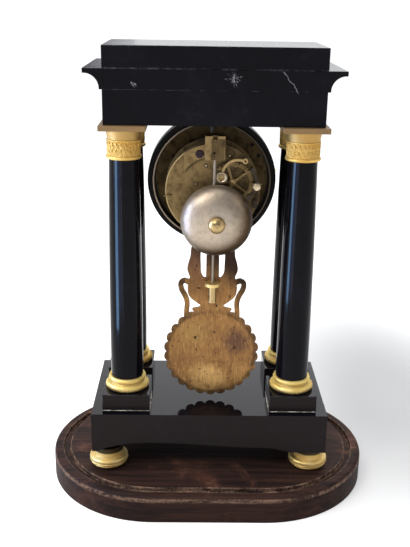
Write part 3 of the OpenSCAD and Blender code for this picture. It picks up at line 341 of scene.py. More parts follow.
def marbleFinish(name, dull=0.0, marks=False, polish=0.12):
    f = Finish(name)
    place = f.place()
    cloud = f.noise(place, 13, 5, 0.6, 0.4)
    mottle = f.noise(place, 95, 6, 0.68)
    streak = f.noise(f.shift(place, (30, 30, 4)), 6, 4, 0.6)
    field = f.noise(place, 17, 3, 0.5, 1.4)
    vein = (field - 0.5).size().step(0.010, 0.0) * cloud.step(0.50, 0.68)
    haze = cloud.step(0.40, 0.78) * 0.55 + mottle.step(0.45, 0.8) * 0.35
    tint = f.mix(haze, stone["deep"], stone["haze"])
    if dull:
        facing = f.axes(f.node("NewGeometry", None, None, "Normal"))[1].step(0.4, 0.8)
        dull = dull * facing * (0.75 + 0.25 * mottle)
        tint = f.mix(dull, tint, stone["dull"])
    tint = f.mix(vein * 0.05, tint, stone["vein"])
    scuff = f.noise(f.shift(place, (260, 260, 900)), 1.6, 3).step(0.66, 0.74) * cloud.step(0.45, 0.7)
    tint = f.mix(scuff * 0.06, tint, stone["vein"])
    edge = f.held("edge").step(0.2, 0.9) * mottle.step(0.42, 0.7)
    tint = f.mix(edge * 0.35, tint, stone["vein"])
    rough = polish + haze * 0.10 + streak * 0.06 + dull * 0.34 + edge * 0.2
    if marks:
        spoiled = rearMarks(f, place)
        tint = f.mix(spoiled, tint, stone["bruised"])
        rough = rough + spoiled * 0.4
    height = mottle * 0.25 + cloud * 0.6
    return f.done(tint, rough, 0.0, height, 0.00012, {"IOR": stone["bend"]})


# gilt bronze, bright on what stands proud and brown where dirt stays
gilding = {
    "base": (tone(224, 193, 106), tone(232, 211, 140)),
    "teeth": (tone(224, 188, 108), tone(230, 204, 140)),
    "capital": (tone(222, 178, 90), tone(230, 196, 116)),
    "foot": (tone(222, 186, 108), tone(236, 212, 150)),
    "brown": tone(126, 88, 48),
    "dull": tone(132, 106, 78),
    "soot": tone(22, 18, 15),
    "band": ((0.3905, 0.3915), (0.4060, 0.4050)),        # the capitals are matted in this band
    "aboveBand": (0.4060, 0.4080),                       # duller above it
    "abacus": (0.4172, 0.4178),                          # and dull from here up
    "milled": ((0.1291, 0.1279), (0.1239, 0.1249)),      # painted shade: the bases are dark between these, behind and between the milled teeth
    "groove": 0.1330,                                    # and brown along this line
    "grooveLine": (0.0018, 0.0004),
    "footNeck": (0.0512, 0.0532),                        # painted shade above this, where the feet go up under the plinth
}


def giltFinish(name, brown=0.5, rough=0.38, kind="base"):
    f = Finish(name)
    place = f.place()
    bright, pale = gilding[kind]
    patch = f.noise(place, 38, 5, 0.6, 0.5)
    grain = f.noise(place, 520, 4, 0.6)
    spot = f.noise(place, 210, 3, 0.6).step(0.66, 0.74)
    sunk = f.held("sunk")
    tint = f.mix(patch.step(0.35, 0.7), bright, pale)
    worn = (sunk.step(0.10, 0.85) * 0.85 + patch.step(0.58, 0.80) * 0.45) * brown
    tint = f.mix(worn, tint, gilding["brown"])
    tint = f.mix(spot * 0.45 * brown, tint, gilding["brown"])
    sheen = rough + worn * 0.30 + grain * 0.12
    height = grain * 0.5 + patch
    z = f.axes(place)[2]
    if kind == "capital":
        punched = f.cells(place, 700).step(0.30, 0.62) * z.band(*gilding["band"])
        tint = f.mix(punched * 0.40, tint, gilding["brown"])
        tint = f.mix(z.step(*gilding["aboveBand"]) * (0.25 + 0.5 * patch), tint, gilding["dull"])
        tint = f.mix(z.step(*gilding["abacus"]) * (0.62 + 0.4 * patch), tint, gilding["dull"])
        height = height - punched * 1.6
    if kind == "base":
        groove = (z - gilding["groove"]).size().step(*gilding["grooveLine"])
        # painted shade behind the milled teeth
        tint = f.mix(z.band(*gilding["milled"]) * 0.8, tint, gilding["soot"])
        tint = f.mix(groove * 0.55, tint, gilding["brown"])
    if kind == "foot":
        # painted shade on the necks of the feet
        tint = f.mix(z.step(*gilding["footNeck"]) * 0.94, tint, gilding["soot"])
    return f.done(tint, sheen, 0.80, height, 0.00016)


# movement brass, olive brown with age; the back plate also gets a painted shadow, painted shade and a painted
# edge highlight
brass = {
    "clean": tone(184, 158, 110),
    "aged": tone(122, 100, 66),
    "stain": tone(62, 47, 30),
    "green": tone(72, 76, 58),
    "grimeAndShade": tone(28, 25, 18),
    "rubbed": tone(212, 188, 138),
    "axis": 0.3493,
    "rim": (0.0498, 0.0505),                             # the plate's edge, made bright with a painted highlight
    "rimLitSide": (0.004, 0.020),                           # on this side, where the light falls
    "shade": ((0.0325, 0.0370), (0.0395, 0.0375)),       # painted shadow of the cock: how far out it lies on the plate
    "shadeSide": (0.004, 0.012),
    "shadeFoot": (0.365, 0.375),
    "strikeSide": (-0.002, -0.014),                      # painted shade on this side, away from the light
}


def brassFinish(name, age=0.6, rough=0.34, brush=(1, 1, 1), grimeAndShade=0.0, plate=False):
    f = Finish(name)
    place = f.place()
    patch = f.noise(place, 95, 7, 0.70, 0.4)
    fine = f.noise(f.shift(place, brush), 900, 4, 0.6)
    spot = f.noise(place, 330, 3, 0.6).step(0.64, 0.75)
    tint = f.mix(age, brass["clean"], brass["aged"])
    tint = f.mix(patch.step(0.42, 0.74) * age, tint, brass["stain"])
    tint = f.mix(f.noise(place, 27, 4, 0.5).step(0.58, 0.78) * 0.4 * age, tint, brass["green"])
    tint = f.mix(spot * 0.5 * age, tint, brass["stain"])
    if plate:
        x, _, z = f.axes(place)
        away = distance(x, z - brass["axis"])
        # painted shadow of the cock, and painted shade on the striking side
        shade = away.band(*brass["shade"]) * x.step(*brass["shadeSide"]) * z.step(*brass["shadeFoot"])
        striking = x.step(*brass["strikeSide"]) * (0.35 + 0.75 * patch)
        tint = f.mix((shade * 0.75).most(striking * 0.85), tint, brass["grimeAndShade"])
        # painted highlight along the plate's edge on the lit side
        rim = away.step(*brass["rim"]) * x.step(*brass["rimLitSide"])
        tint = f.mix(rim * (0.45 + 0.5 * patch), tint, brass["rubbed"])
    # grime and painted shade, darkening the whole piece
    if grimeAndShade:
        tint = f.mix(grimeAndShade * (0.7 + 0.6 * patch), tint, brass["grimeAndShade"])
    else:
        tint = f.mix(f.held("edge").step(0.2, 0.9) * (0.3 + 0.6 * patch), tint, brass["rubbed"])
    sheen = rough + patch * 0.2 * age + fine * 0.14
    return f.done(tint, sheen, 0.92, fine * 0.6 + patch * 0.4, 0.00010)


# drum tube, dark brown with painted shade, and a bare rear edge that a painted highlight makes brighter on
# the lit side
tubeLook = {
    "dark": tone(20, 15, 10),
    "brown": tone(48, 37, 24),
    "bare": tone(206, 182, 150),
    "edge": (-0.0268, -0.0262),
    "side": (0.0, 0.05),             # painted highlight: brighter towards this side, where the light falls
}


def tubeFinish():
    f = Finish("darkTube")
    place = f.place()
    x, y, _ = f.axes(place)
    patch = f.noise(place, 55, 5, 0.62, 0.5)
    # painted shade: dark brown all over, for the shade inside the drum
    tint = f.mix(patch.step(0.40, 0.72), tubeLook["dark"], tubeLook["brown"])
    edge = y.step(*tubeLook["edge"]) * (0.25 + 0.75 * x.step(*tubeLook["side"]))
    tint = f.mix(edge * (0.45 + 0.55 * patch), tint, tubeLook["bare"])
    return f.done(tint, 0.42 + patch * 0.2, 0.35, patch, 0.0001)


# steel and iron, rusted in patches
rustTone = tone(92, 70, 52)


def steelFinish(name, tint, rough=0.3, rust=0.25):
    f = Finish(name)
    place = f.place()
    patch = f.noise(place, 120, 5, 0.6)
    fine = f.noise(f.shift(place, (1, 1, 0.15)), 1200, 3, 0.6)
    shade = f.mix(patch.step(0.5, 0.8) * rust, tint, rustTone)
    return f.done(shade, rough + fine * 0.14 + patch * 0.1, 0.95, fine, 0.00006)


# bell, spun and grey, with a warm rim and painted shade on the side away from the light
bellLook = {
    "axis": (-0.0042, 0.3220),
    "radius": 0.0385,
    "grey": tone(202, 184, 162),
    "blue": tone(178, 165, 151),
    "warmRimAndShade": tone(84, 64, 42),
    "dark": tone(84, 73, 56),
    "lit": (0.78, 0.62),     # the way towards the light; the far side gets painted shade
}


def bellFinish():
    f = Finish("bellMetal")
    place = f.place()
    x, _, z = f.axes(place)
    across, upward = x - bellLook["axis"][0], z - bellLook["axis"][1]
    away = distance(across, upward) / bellLook["radius"]
    spun = f.noise(f.join(away * 26.0, 0.0, 0.0), 3.0, 5, 0.7)
    patch = f.noise(place, 190, 6, 0.72, 0.4)
    bloom = f.noise(place, 34, 3, 0.5, 0.3)
    towardLight = (across * bellLook["lit"][0] + upward * bellLook["lit"][1]) / bellLook["radius"]
    # painted shade: warm and dark away from the light, a little all round the rim
    low = towardLight.step(0.55, -0.85)
    warmRimAndShade = away.step(0.25, 1.0) * (0.25 + 1.10 * low) * (0.7 + 0.5 * patch)
    tint = f.mix(bloom.step(0.42, 0.62) * 0.8, bellLook["grey"], bellLook["blue"])
    tint = f.mix(warmRimAndShade, tint, bellLook["warmRimAndShade"])
    tint = f.mix(spun.step(0.42, 0.72) * 0.32 + patch.step(0.46, 0.74) * 0.36, tint, bellLook["dark"])
    spot = f.noise(place, 420, 3).step(0.72, 0.78)
    tint = f.mix(spot * 0.6, tint, bellLook["dark"])
    return f.done(tint, 0.26 + spun * 0.16 + patch * 0.16, 0.82, spun * 0.8 + patch * 0.7, 0.00020)


# pendulum bob, worn gilding streaked down its flat back
bobLook = {
    "gold": tone(184, 138, 82),
    "olive": tone(164, 130, 76),
    "light": tone(236, 192, 122),
    "brown": tone(118, 82, 50),
    "dark": tone(44, 31, 25),
    "plum": tone(92, 64, 52),
    "middle": (-0.0015, 0.163),
    "rim": (0.0462, 0.0500),         # darker from here out, over the scallops
    "rimTop": (0.216, 0.206),        # but only below this
    "scratched": (-0.006, -0.030),   # more scratched from here down
    "horns": (0.232, 0.282),         # plum towards the tops of the lyre
    "tips": (0.251, 0.287),          # and dark above a slanting line
    "slant": 0.9,
    "arms": (0.026, 0.031),          # dark outside these
    "armFoot": (0.213, 0.222),
    "lug": 0.0306,                   # cleaner gilding behind this, on the lug
    "stem": 0.2445,                  # and brass below this
    "smear": 0.03,                   # how far the edges of the zones stray
    "zones": (                       # x and z from the middle, size, tone and share
        (0.018, 0.024, 0.022, "olive", 0.60),
        (-0.029, 0.014, 0.021, "plum", 0.85),
        (0.004, -0.034, 0.026, "light", 0.55),
        (-0.034, -0.026, 0.018, "gold", 0.60),
        (0.036, -0.010, 0.016, "brown", 0.45),
        (0.0185, 0.084, 0.022, "brown", 0.60),
        (-0.003, 0.021, 0.014, "brown", 0.35),
    ),
}


def bobFinish():
    f = Finish("bobGilding")
    place = f.place()
    x, _, z = f.axes(place)
    streak = f.noise(f.shift(place, (300, 300, 60)), 1.0, 6, 0.72)
    scratch = f.noise(f.shift(place, (700, 700, 90)), 1.0, 4, 0.72)
    patch = f.noise(place, 30, 5, 0.6, 0.6)
    smear = f.noise(place, 75, 6, 0.7, 0.8)
    pit = f.noise(place, 210, 3, 0.55).step(0.645, 0.72)
    tint = f.mix(streak.step(0.30, 0.72) * 0.55 + patch * 0.4, bobLook["brown"], bobLook["gold"])
    across, upward = x - bobLook["middle"][0], z - bobLook["middle"][1]
    for cx, cz, size, key, share in bobLook["zones"]:
        off = distance(across - cx, upward - cz) + (smear - 0.5) * bobLook["smear"]
        tint = f.mix(off.step(size, size * 0.3) * share, tint, bobLook[key])
    tint = f.mix(smear.step(0.50, 0.66) * 0.55, tint, bobLook["brown"])
    low = upward.step(*bobLook["scratched"])
    tint = f.mix(scratch.step(0.55, 0.68) * (0.45 + 0.40 * low), tint, bobLook["light"])
    tint = f.mix(scratch.step(0.45, 0.32) * 0.75, tint, bobLook["brown"])
    tint = f.mix(z.step(*bobLook["horns"]) * 0.85, tint, bobLook["plum"])
    tint = f.mix((z - x * bobLook["slant"]).step(*bobLook["tips"]) * 0.92, tint, bobLook["dark"])
    arms = x.size().step(*bobLook["arms"]) * z.step(*bobLook["armFoot"])
    tint = f.mix(arms * smear.step(0.25, 0.60) * 0.75, tint, bobLook["dark"])
    rim = distance(across, upward).step(*bobLook["rim"]) * z.step(*bobLook["rimTop"])
    tint = f.mix(rim * smear.step(0.28, 0.56) * 0.65, tint, bobLook["dark"])
    tint = f.mix(f.held("edge").step(0.2, 0.8) * 0.40, tint, bobLook["light"])
    tint = f.mix(pit * 0.80, tint, bobLook["dark"])
    height = streak * 0.8 + patch * 0.6 + scratch * 0.6 - pit * 1.4
    return f.done(tint, 0.40 + streak * 0.18 + pit * 0.2, 0.82, height, 0.00026)


# old stained wood, rubbed pale along its edges
wood = {
    "dark": tone(34, 25, 24),
    "brown": tone(66, 45, 38),
    "red": tone(104, 64, 50),
    "rubbed": tone(168, 130, 104),
    "bare": tone(150, 128, 112),
    "straight": 0.0615,                  # half the straight run of the oval
    "rims": (0.105, 0.113, 0.124),       # edges of the panel, of the groove and of the board
    "rimLine": (0.0011, 0.0003),
    "top": (0.024, 0.027),               # the rims lie above this
    "bend": 1.16,                        # hardly any gloss left
}


def woodFinish():
    f = Finish("oldWood")
    place = f.place()
    x, y, z = f.axes(place)
    grain = f.noise(f.shift(place, (5, 90, 90)), 1.0, 6, 0.66, 0.8)
    fibre = f.noise(f.shift(place, (26, 900, 900)), 1.0, 4, 0.6)
    patch = f.noise(place, 16, 5, 0.62, 0.6)
    speck = f.noise(place, 380, 3, 0.6)
    tint = f.mix(grain.step(0.36, 0.68), wood["dark"], wood["brown"])
    tint = f.mix(patch.step(0.52, 0.78) * 0.55, tint, wood["red"])
    tint = f.mix(fibre.step(0.55, 0.8) * 0.3, tint, wood["dark"])
    beyond = (x.size() - wood["straight"]).most(0.0)
    out = distance(beyond, y) + (patch - 0.5) * 0.0012
    above = z.step(*wood["top"])
    rim = f.held("edge").step(0.15, 0.85)
    for edge in wood["rims"]:
        rim = rim.most((out - edge).size().step(*wood["rimLine"]) * above)
    scuff = f.noise(f.shift(place, (34, 150, 150)), 1.0, 5, 0.7)
    wear = scuff * 0.8 + speck * 0.4
    tint = f.mix(rim * wear.step(0.46, 0.72) * (0.15 + 0.6 * patch), tint, wood["bare"])
    rubbed = (rim * 0.8 + patch.step(0.54, 0.76) * 0.50) * wear.step(0.54, 0.76)
    tint = f.mix(rubbed * 0.70, tint, wood["rubbed"])
    flake = speck.step(0.68, 0.74) * patch.step(0.42, 0.58)
    tint = f.mix(flake * 0.5, tint, wood["rubbed"])
    height = grain * 0.7 + fibre * 0.4 - flake * 0.4
    rough = 0.50 + grain * 0.18 - patch * 0.08 + rubbed * 0.12
    return f.done(tint, rough, 0.0, height, 0.00040, {"IOR": wood["bend"]})


lacquer = {"black": tone(13, 11, 12), "brown": tone(34, 27, 25), "worn": tone(104, 82, 68), "bend": 1.2}


def lacquerFinish():
    f = Finish("blackLacquer")
    place = f.place()
    patch = f.noise(place, 60, 5, 0.6)
    speck = f.noise(place, 500, 3).step(0.66, 0.74)
    tint = f.mix(patch.step(0.4, 0.75), lacquer["black"], lacquer["brown"])
    tint = f.mix(f.held("edge").step(0.2, 0.9) * 0.12 + speck * 0.2, tint, lacquer["worn"])
    return f.done(tint, 0.26 + patch * 0.2, 0.0, patch, 0.0001, {"IOR": lacquer["bend"]})


enamel = {
    "white": (tone(240, 238, 230), tone(247, 245, 240)),
    "craze": tone(150, 140, 124),
    "backTone": tone(22, 19, 16),             # near black on the back, where the notches of the false plate show it
    "back": (-0.0459, -0.0457),
}


def enamelFinish():
    f = Finish("whiteEnamel")
    place = f.place()
    patch = f.noise(place, 24, 4, 0.55)
    craze = f.cells(place, 120, "DISTANCE_TO_EDGE").step(0.025, 0.0) * patch.step(0.5, 0.62)
    tint = f.mix(patch, *enamel["white"])
    tint = f.mix(craze * 0.25, tint, enamel["craze"])
    behind = f.axes(place)[1].step(*enamel["back"])
    tint = f.mix(behind, tint, enamel["backTone"])
    return f.done(tint, 0.14 + patch * 0.06 + behind * 0.55, 0.0, patch, 0.0001)


clear = {"tint": (0.97, 0.99, 0.98, 1), "optics": {"Transmission Weight": 1.0, "IOR": 1.45}}


def glassFinish():
    f = Finish("clearGlass")
    smear = f.noise(f.place(), 70, 4, 0.6)
    return f.done(clear["tint"], 0.02 + smear * 0.03, fixed=clear["optics"])


plasterTones = (tone(120, 112, 102), tone(214, 208, 196))


def plasterFinish():
    f = Finish("oldPlaster")
    grain = f.noise(f.place(), 900, 4, 0.6)
    tint = f.mix(f.noise(f.place(), 140, 4).step(0.42, 0.62), *plasterTones)
    return f.done(tint, 0.85 + grain * 0.1, 0.0, grain, 0.0003)


inkTones = (tone(18, 17, 20), tone(40, 38, 42))


def inkFinish():
    f = Finish("dialInk")
    fade = f.noise(f.place(), 300, 3)
    return f.done(f.mix(fade, *inkTones), 0.35 + fade * 0.1)


finishes = {
    "marbleTop": marbleFinish("marbleTop", 0.0, True, 0.10),
    "marblePlinth": marbleFinish("marblePlinth", 0.85, False, 0.02),
    "marbleColumn": marbleFinish("marbleColumn", 0.0, False, 0.05),
    "giltBase": giltFinish("giltBase", 0.45, 0.50),
    "gilt": giltFinish("giltBronze", 0.55, 0.44, "teeth"),
    "giltCapital": giltFinish("giltCapital", 0.6, 0.50, "capital"),
    "giltFoot": giltFinish("giltFoot", 0.35, 0.44, "foot"),
    "giltBezel": giltFinish("giltBezel", 0.35, 0.22, "teeth"),
    "plate": brassFinish("agedPlate", 0.90, 0.36),
    "backPlate": brassFinish("backPlate", 0.76, 0.36, (1, 1, 1), 0.0, True),
    "wheel": brassFinish("agedWheel", 0.55, 0.30),
    "cock": brassFinish("cleanCock", 0.70, 0.34, (1, 1, 0.05)),
    "count": brassFinish("countBrass", 0.82, 0.34),
    # the cheek is darkened with grime and painted shade
    "cheek": brassFinish("cockCheek", 0.95, 0.36, (1, 1, 0.03), 0.44),
    "boss": brassFinish("bossBrass", 0.30, 0.26),
    "tube": tubeFinish(),
    "nut": brassFinish("brightNut", 0.10, 0.22),
    "steel": steelFinish("greySteel", tone(150, 148, 144)),
    "bright": steelFinish("brightSteel", tone(206, 206, 206), 0.2, 0.08),
    "pale": steelFinish("paleBoss", tone(206, 188, 156), 0.30, 0.30),
    "rod": steelFinish("rodSteel", tone(142, 130, 112), 0.36, 0.30),
    # the false plate is darkened with grime and painted shade, deep in the drum
    "falsePlate": brassFinish("darkPlate", 1.0, 0.42, (1, 1, 1), 0.36),
    "iron": steelFinish("darkIron", tone(66, 58, 50), 0.46, 0.5),
    "dark": steelFinish("darkSteel", tone(74, 68, 62), 0.42, 0.4),
    "blued": steelFinish("bluedSteel", tone(52, 50, 88), 0.28, 0.12),
    "screw": steelFinish("screwSteel", tone(58, 48, 54), 0.36, 0.45),
    "bell": bellFinish(),
    "bob": bobFinish(),
    "wood": woodFinish(),
    "lacquer": lacquerFinish(),
    "enamel": enamelFinish(),
    "glass": glassFinish(),
    "ink": inkFinish(),
    "plaster": plasterFinish(),
    "soot": steelFinish("soot", tone(16, 14, 12), 0.7, 0.2),
}
print("finishes made:", len(finishes))


# shared ways of making a piece
def stand(name, mesh):
    made = bpy.data.objects.new(name, mesh)
    scene.collection.objects.link(made)
    return made


def baked(piece):
    view = bpy.context.evaluated_depsgraph_get()
    view.update()
    mesh = bpy.data.meshes.new_from_object(piece.evaluated_get(view))
    piece.modifiers.clear()
    piece.data = mesh
    return piece


def smoothed(mesh, angle):
    mesh.polygons.foreach_set("use_smooth", [True] * len(mesh.polygons))
    mesh.set_sharp_from_angle(angle=math.radians(angle))
    mesh.update()


def keep(piece, node, finish):
    piece.data.materials.clear()
    piece.data.materials.append(finishes[finish])
    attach(piece, bodyOf[node])
    return piece


def mergedForm(node):
    form = bmesh.new()
    form.from_mesh(nodes[node].data)
    bmesh.ops.remove_doubles(form, verts=form.verts, dist=1e-6)
    bmesh.ops.dissolve_limit(form, angle_limit=math.radians(0.5), verts=form.verts, edges=form.edges)
    return form


softening = {"segments": 2, "sharp": 35, "smooth": 20}      # cuts across an arris, and angles in degrees


# a copy of a CAD solid whose arrises are softened by handling
def dressed(node, finish, width):
    form = mergedForm(node)
    least = math.radians(softening["sharp"])
    sharp = [e for e in form.edges if len(e.link_faces) == 2 and e.calc_face_angle(0) > least]
    rounded = bmesh.ops.bevel(form, geom=sharp, offset=width / 1000, offset_type="OFFSET", profile=0.5,
                              segments=softening["segments"], affect="EDGES", clamp_overlap=True)["faces"]
    form.verts.index_update()
    form.faces.index_update()
    worn = np.zeros(len(form.faces), dtype=np.float32)
    worn[[f.index for f in rounded]] = 1
    mesh = bpy.data.meshes.new(node + "_dressed")
    faces = [tuple(v.index for v in f.verts) for f in form.faces]
    mesh.from_pydata([tuple(v.co) for v in form.verts], [], faces)
    form.free()
    mesh.attributes.new("edge", "FLOAT", "FACE").data.foreach_set("value", worn)
    smoothed(mesh, softening["smooth"])
    piece = stand(node + "_dressed", mesh)
    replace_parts(keep(piece, node, finish), node)
    return piece


def refinish(piece, finish, chosen):
    piece.data.materials.append(finishes[finish])
    for face in piece.data.polygons:
        if chosen(face.center):
            face.material_index = len(piece.data.materials) - 1


edgeWidths = {   # node: finish, edge width in mm
    "frieze": ("marbleTop", 0.7), "attic_slab": ("marbleTop", 0.8), "cornice": ("marbleTop", 0.5),
    "plinth": ("marblePlinth", 0.8), "column_blocks": ("marblePlinth", 0.7),
    "drum_ring": ("lacquer", 0.8), "drum_tube": ("tube", 0.3), "suspension_cock": ("cock", 0.7),
    "back_plate": ("backPlate", 0.3), "front_plate": ("plate", 0.3), "pendulum_bob": ("bob", 0.5),
    "dome_base": ("wood", 0.9), "count_wheel": ("count", 0.15), "hour_hand": ("blued", 0.2),
    "minute_hand": ("blued", 0.2), "drum_saddle": ("tube", 0.4), "detent_lever": ("boss", 0.25),
}
softened = {node: dressed(node, finish, width) for node, (finish, width) in edgeWidths.items()}
print("edges softened:", len(softened))

plainFinishes = {
    "marbleColumn": ["column_shafts"],
    "giltBase": ["column_bases"],
    "giltCapital": ["capitals"],
    "giltFoot": ["feet"],
    "giltBezel": ["bezel", "bezel_hinge"],
    "falsePlate": ["false_plate", "movement_feet"],
    "plate": ["plate_pillars"],
    "wheel": ["going_barrel", "going_intermediate_wheel", "centre_wheel", "third_wheel", "escape_wheel",
              "strike_barrel", "strike_intermediate_wheel", "pin_wheel", "warning_wheel", "fly",
              "minute_wheel", "hour_wheel", "pillar_pins"],
    "nut": ["bell_nut", "rating_nut", "hand_collet"],
    "steel": ["going_winding_arbor", "strike_winding_arbor", "ratchet_clicks", "cannon_pinion"],
    "bright": ["pallet_anchor"],
    "dark": ["drum_bolt", "suspension_spring"],
    "rod": ["pendulum_rod"],
    "iron": ["foot_studs", "tie_rods", "tie_nuts", "hammer", "hammer_spring", "bell_stand"],
    "screw": ["cock_screw"],
    "bell": ["bell"],
    "enamel": ["dial"],
    "glass": ["glass"],
}
for finish, held in plainFinishes.items():
    for node in held:
        nodes[node].data.materials.clear()
        nodes[node].data.materials.append(finishes[finish])
print("plain nodes finished")


# closed forms from rows of points
class Form:
    def __init__(self):
        self.mesh = bmesh.new()

    def skin(self, loops, turn=Matrix(), ring=False):
        rows = [[self.mesh.verts.new(turn @ Vector(p)) for p in loop] for loop in loops]
        for low, high in zip(rows, rows[1:] + ([rows[0]] if ring else [])):
            for i, corner in enumerate(low):
                j = (i + 1) % len(low)
                self.mesh.faces.new((corner, low[j], high[j], high[i]))
        if not ring:
            self.mesh.faces.new(rows[0][::-1])
            self.mesh.faces.new(rows[-1])

    def turned(self, profile, turn, sides=40, ring=False):
        steps = [math.tau * k / sides for k in range(sides)]
        self.skin([[(r * math.cos(t), r * math.sin(t), h) for t in steps] for r, h in profile], turn, ring)

    def rod(self, path, widths, sides=6):
        path = [Vector(p) for p in path]
        loops = []
        for k, (point, width) in enumerate(zip(path, widths)):
            ahead = (path[min(k + 1, len(path) - 1)] - path[max(k - 1, 0)]).normalized()
            out = (Vector((1, 0, 0)) - ahead * ahead.x).normalized()
            side = ahead.cross(out)
            turns = [math.tau * s / sides for s in range(sides)]
            loops.append([point + width * (math.cos(t) * out + math.sin(t) * side) for t in turns])
        self.skin(loops)

    def slab(self, corners, low, high, turn=Matrix()):
        self.skin([[(x, y, low) for x, y in corners], [(x, y, high) for x, y in corners]], turn)

    def done(self, name):
        bmesh.ops.recalc_face_normals(self.mesh, faces=self.mesh.faces)
        data = bpy.data.meshes.new(name)
        self.mesh.to_mesh(data)
        self.mesh.free()
        return data


# node tree that sets one form in rings, and the rings in rows
class Weave(Graph):
    family = "GeometryNode"

    def __init__(self, name, asked):
        super().__init__(bpy.data.node_groups.new(name, "GeometryNodeTree"))
        face = self.tree.interface
        self.ids = {key: face.new_socket(key, in_out="INPUT", socket_type="NodeSocket" + kind).identifier
                    for key, kind in asked.items()}
        face.new_socket("Shape", in_out="OUTPUT", socket_type="NodeSocketGeometry")
        self.given = self.node("NodeGroupInput").part

    def turn(self, x, y, z):
        return self.node("FunctionNodeEulerToRotation", None, {0: self.join(x, y, z)})

    def row(self, form, count, offset):
        line = self.node("MeshLine", {"mode": "OFFSET"}, {"Count": count, "Offset": offset})
        return self.node("InstanceOnPoints", None, {"Points": line, "Instance": form})


def ringWeave():
    w = Weave("ringsInRows", {"Form": "Geometry", "Count": "Int", "Radius": "Float", "Tip": "Float",
                              "Place": "Vector", "Columns": "Int", "Span": "Float", "Rows": "Int",
                              "Gap": "Float", "Finish": "Material"})
    given = w.given
    circle = w.node("MeshCircle", None, {"Vertices": given("Count"), "Radius": given("Radius")})
    angle = w.node("InputIndex") * math.tau / given("Count")
    ring = w.node("InstanceOnPoints", None, {"Points": circle, "Instance": given("Form"),
                                             "Rotation": w.turn(0.0, 0.0, angle)})
    laid = w.node("Transform", None, {"Geometry": ring, "Translation": given("Place"),
                                      "Rotation": w.turn(given("Tip"), 0.0, 0.0)})
    across = w.row(laid, given("Columns"), w.join(given("Span"), 0.0, 0.0))
    both = w.row(across, given("Rows"), w.join(0.0, given("Gap"), 0.0))
    solid = w.node("RealizeInstances", None, {0: both})
    coated = w.node("SetMaterial", None, {"Geometry": solid, "Material": given("Finish")})
    w.node("NodeGroupOutput", None, {0: coated})
    return w


rings = ringWeave()


def woven(name, form, settings, node, finish, angle=50):
    piece = stand(name, form.done(name))
    weave = piece.modifiers.new("weave", "NODES")
    weave.node_group = rings.tree
    base = {"Tip": 0.0, "Columns": 1, "Span": 0.0, "Rows": 1, "Gap": 0.0, "Finish": finishes[finish]}
    for key, value in {**base, **settings}.items():
        weave[rings.ids[key]] = value
    smoothed(baked(piece).data, angle)
    return keep(piece, node, finish)


def formed(name, form, node, finish, angle=40):
    piece = stand(name, form.done(name))
    smoothed(piece.data, angle)
    return keep(piece, node, finish)


def toFront(x, y, z):
    return Matrix.Translation((x, y, z)) @ Matrix.Rotation(math.pi / 2, 4, "X")


def toRear(x, y, z):
    return Matrix.Translation((x, y, z)) @ Matrix.Rotation(-math.pi / 2, 4, "X")


# capitals: a chased band of leaves round each neck
capitalLook = {
    "leaves": 22, "neck": 0.0173, "foot": 0.3910, "tall": 0.0078, "half": 0.0024, "rise": 0.00060,
    "lean": 0.0014, "tip": 0.00008, "depth": 0.0010, "steps": 10, "ribs": 9, "overlap": 0.80,
    "beads": 46, "beadRing": 0.0175, "beadAt": 0.4054, "bead": 0.0007,
}


def leafForm(look):
    form = Form()
    back = Matrix.Translation((look["neck"], 0, 0))
    for row, turn in enumerate((0.0, math.pi / look["leaves"])):
        lifted = Matrix.Translation((0, 0, row * look["tall"] * look["overlap"]))
        around = back.inverted() @ Matrix.Rotation(turn, 4, "Z") @ back @ lifted
        form.skin(leafLoops(look, 1 - 2 * row), around)
    return form


def leafLoops(look, lean):
    loops = []
    for i in range(look["steps"]):
        v = i / (look["steps"] - 1)
        taper = (1 - v ** 2.6) * (0.82 + 0.18 * math.sin(math.pi * v))
        toothed = 1 - 0.16 * (i % 2)
        half = look["half"] * taper * toothed + look["tip"]
        lift = look["rise"] * (0.5 + 0.7 * v) * (1 - v ** 8)
        front = []
        for j in range(look["ribs"]):
            u = 2 * j / (look["ribs"] - 1) - 1
            ribbed = 0.30 + 0.70 * abs(math.cos(2 * math.pi * u))
            y = u * half + lean * look["lean"] * v * v
            bend = look["neck"] - math.sqrt(look["neck"] ** 2 - y * y)
            front.append((lift * ribbed * (1 - 0.5 * u * u) - bend, y, v * look["tall"]))
        back = [(-look["depth"], front[k][1] * 0.98, v * look["tall"]) for k in (-1, 0)]
        loops.append(front + back)
    return loops


def ballForm(size, rows=6, sides=8):
    form = Form()
    ends = [math.pi * (k + 0.35) / (rows - 0.3) for k in range(rows)]
    form.turned([(size * math.sin(t), -size * math.cos(t)) for t in ends], Matrix(), sides)
    return form


columnX, columnY = 0.0939, 0.0362
fourRows = {"Columns": 2, "Span": 2 * columnX, "Rows": 2, "Gap": 2 * columnY}
woven("capital_leaves", leafForm(capitalLook),
      {"Count": capitalLook["leaves"], "Radius": capitalLook["neck"], **fourRows,
       "Place": (-columnX, -columnY, capitalLook["foot"])}, "capitals", "giltCapital", 35)
woven("capital_beads", ballForm(capitalLook["bead"]),
      {"Count": capitalLook["beads"], "Radius": capitalLook["beadRing"], **fourRows,
       "Place": (-columnX, -columnY, capitalLook["beadAt"])}, "capitals", "giltCapital")

# column bases: rope on the front pair, a milled lower edge on the rear pair
baseLook = {
    "roll": 0.00405, "ring": 0.02015, "level": 0.12805,
    "rows": {       # name: side, count, arc in degrees, slant and widths of one rod
        "base_rope": (-1, 46, (-62, 62), 0.0034, (0.0003, 0.0008, 0.0010, 0.0010, 0.0008, 0.0003)),
        "base_milling": (1, 80, (-74, 20), 0.0, (0.0003, 0.0006, 0.0006, 0.0006, 0.0006, 0.0003)),
    },
}


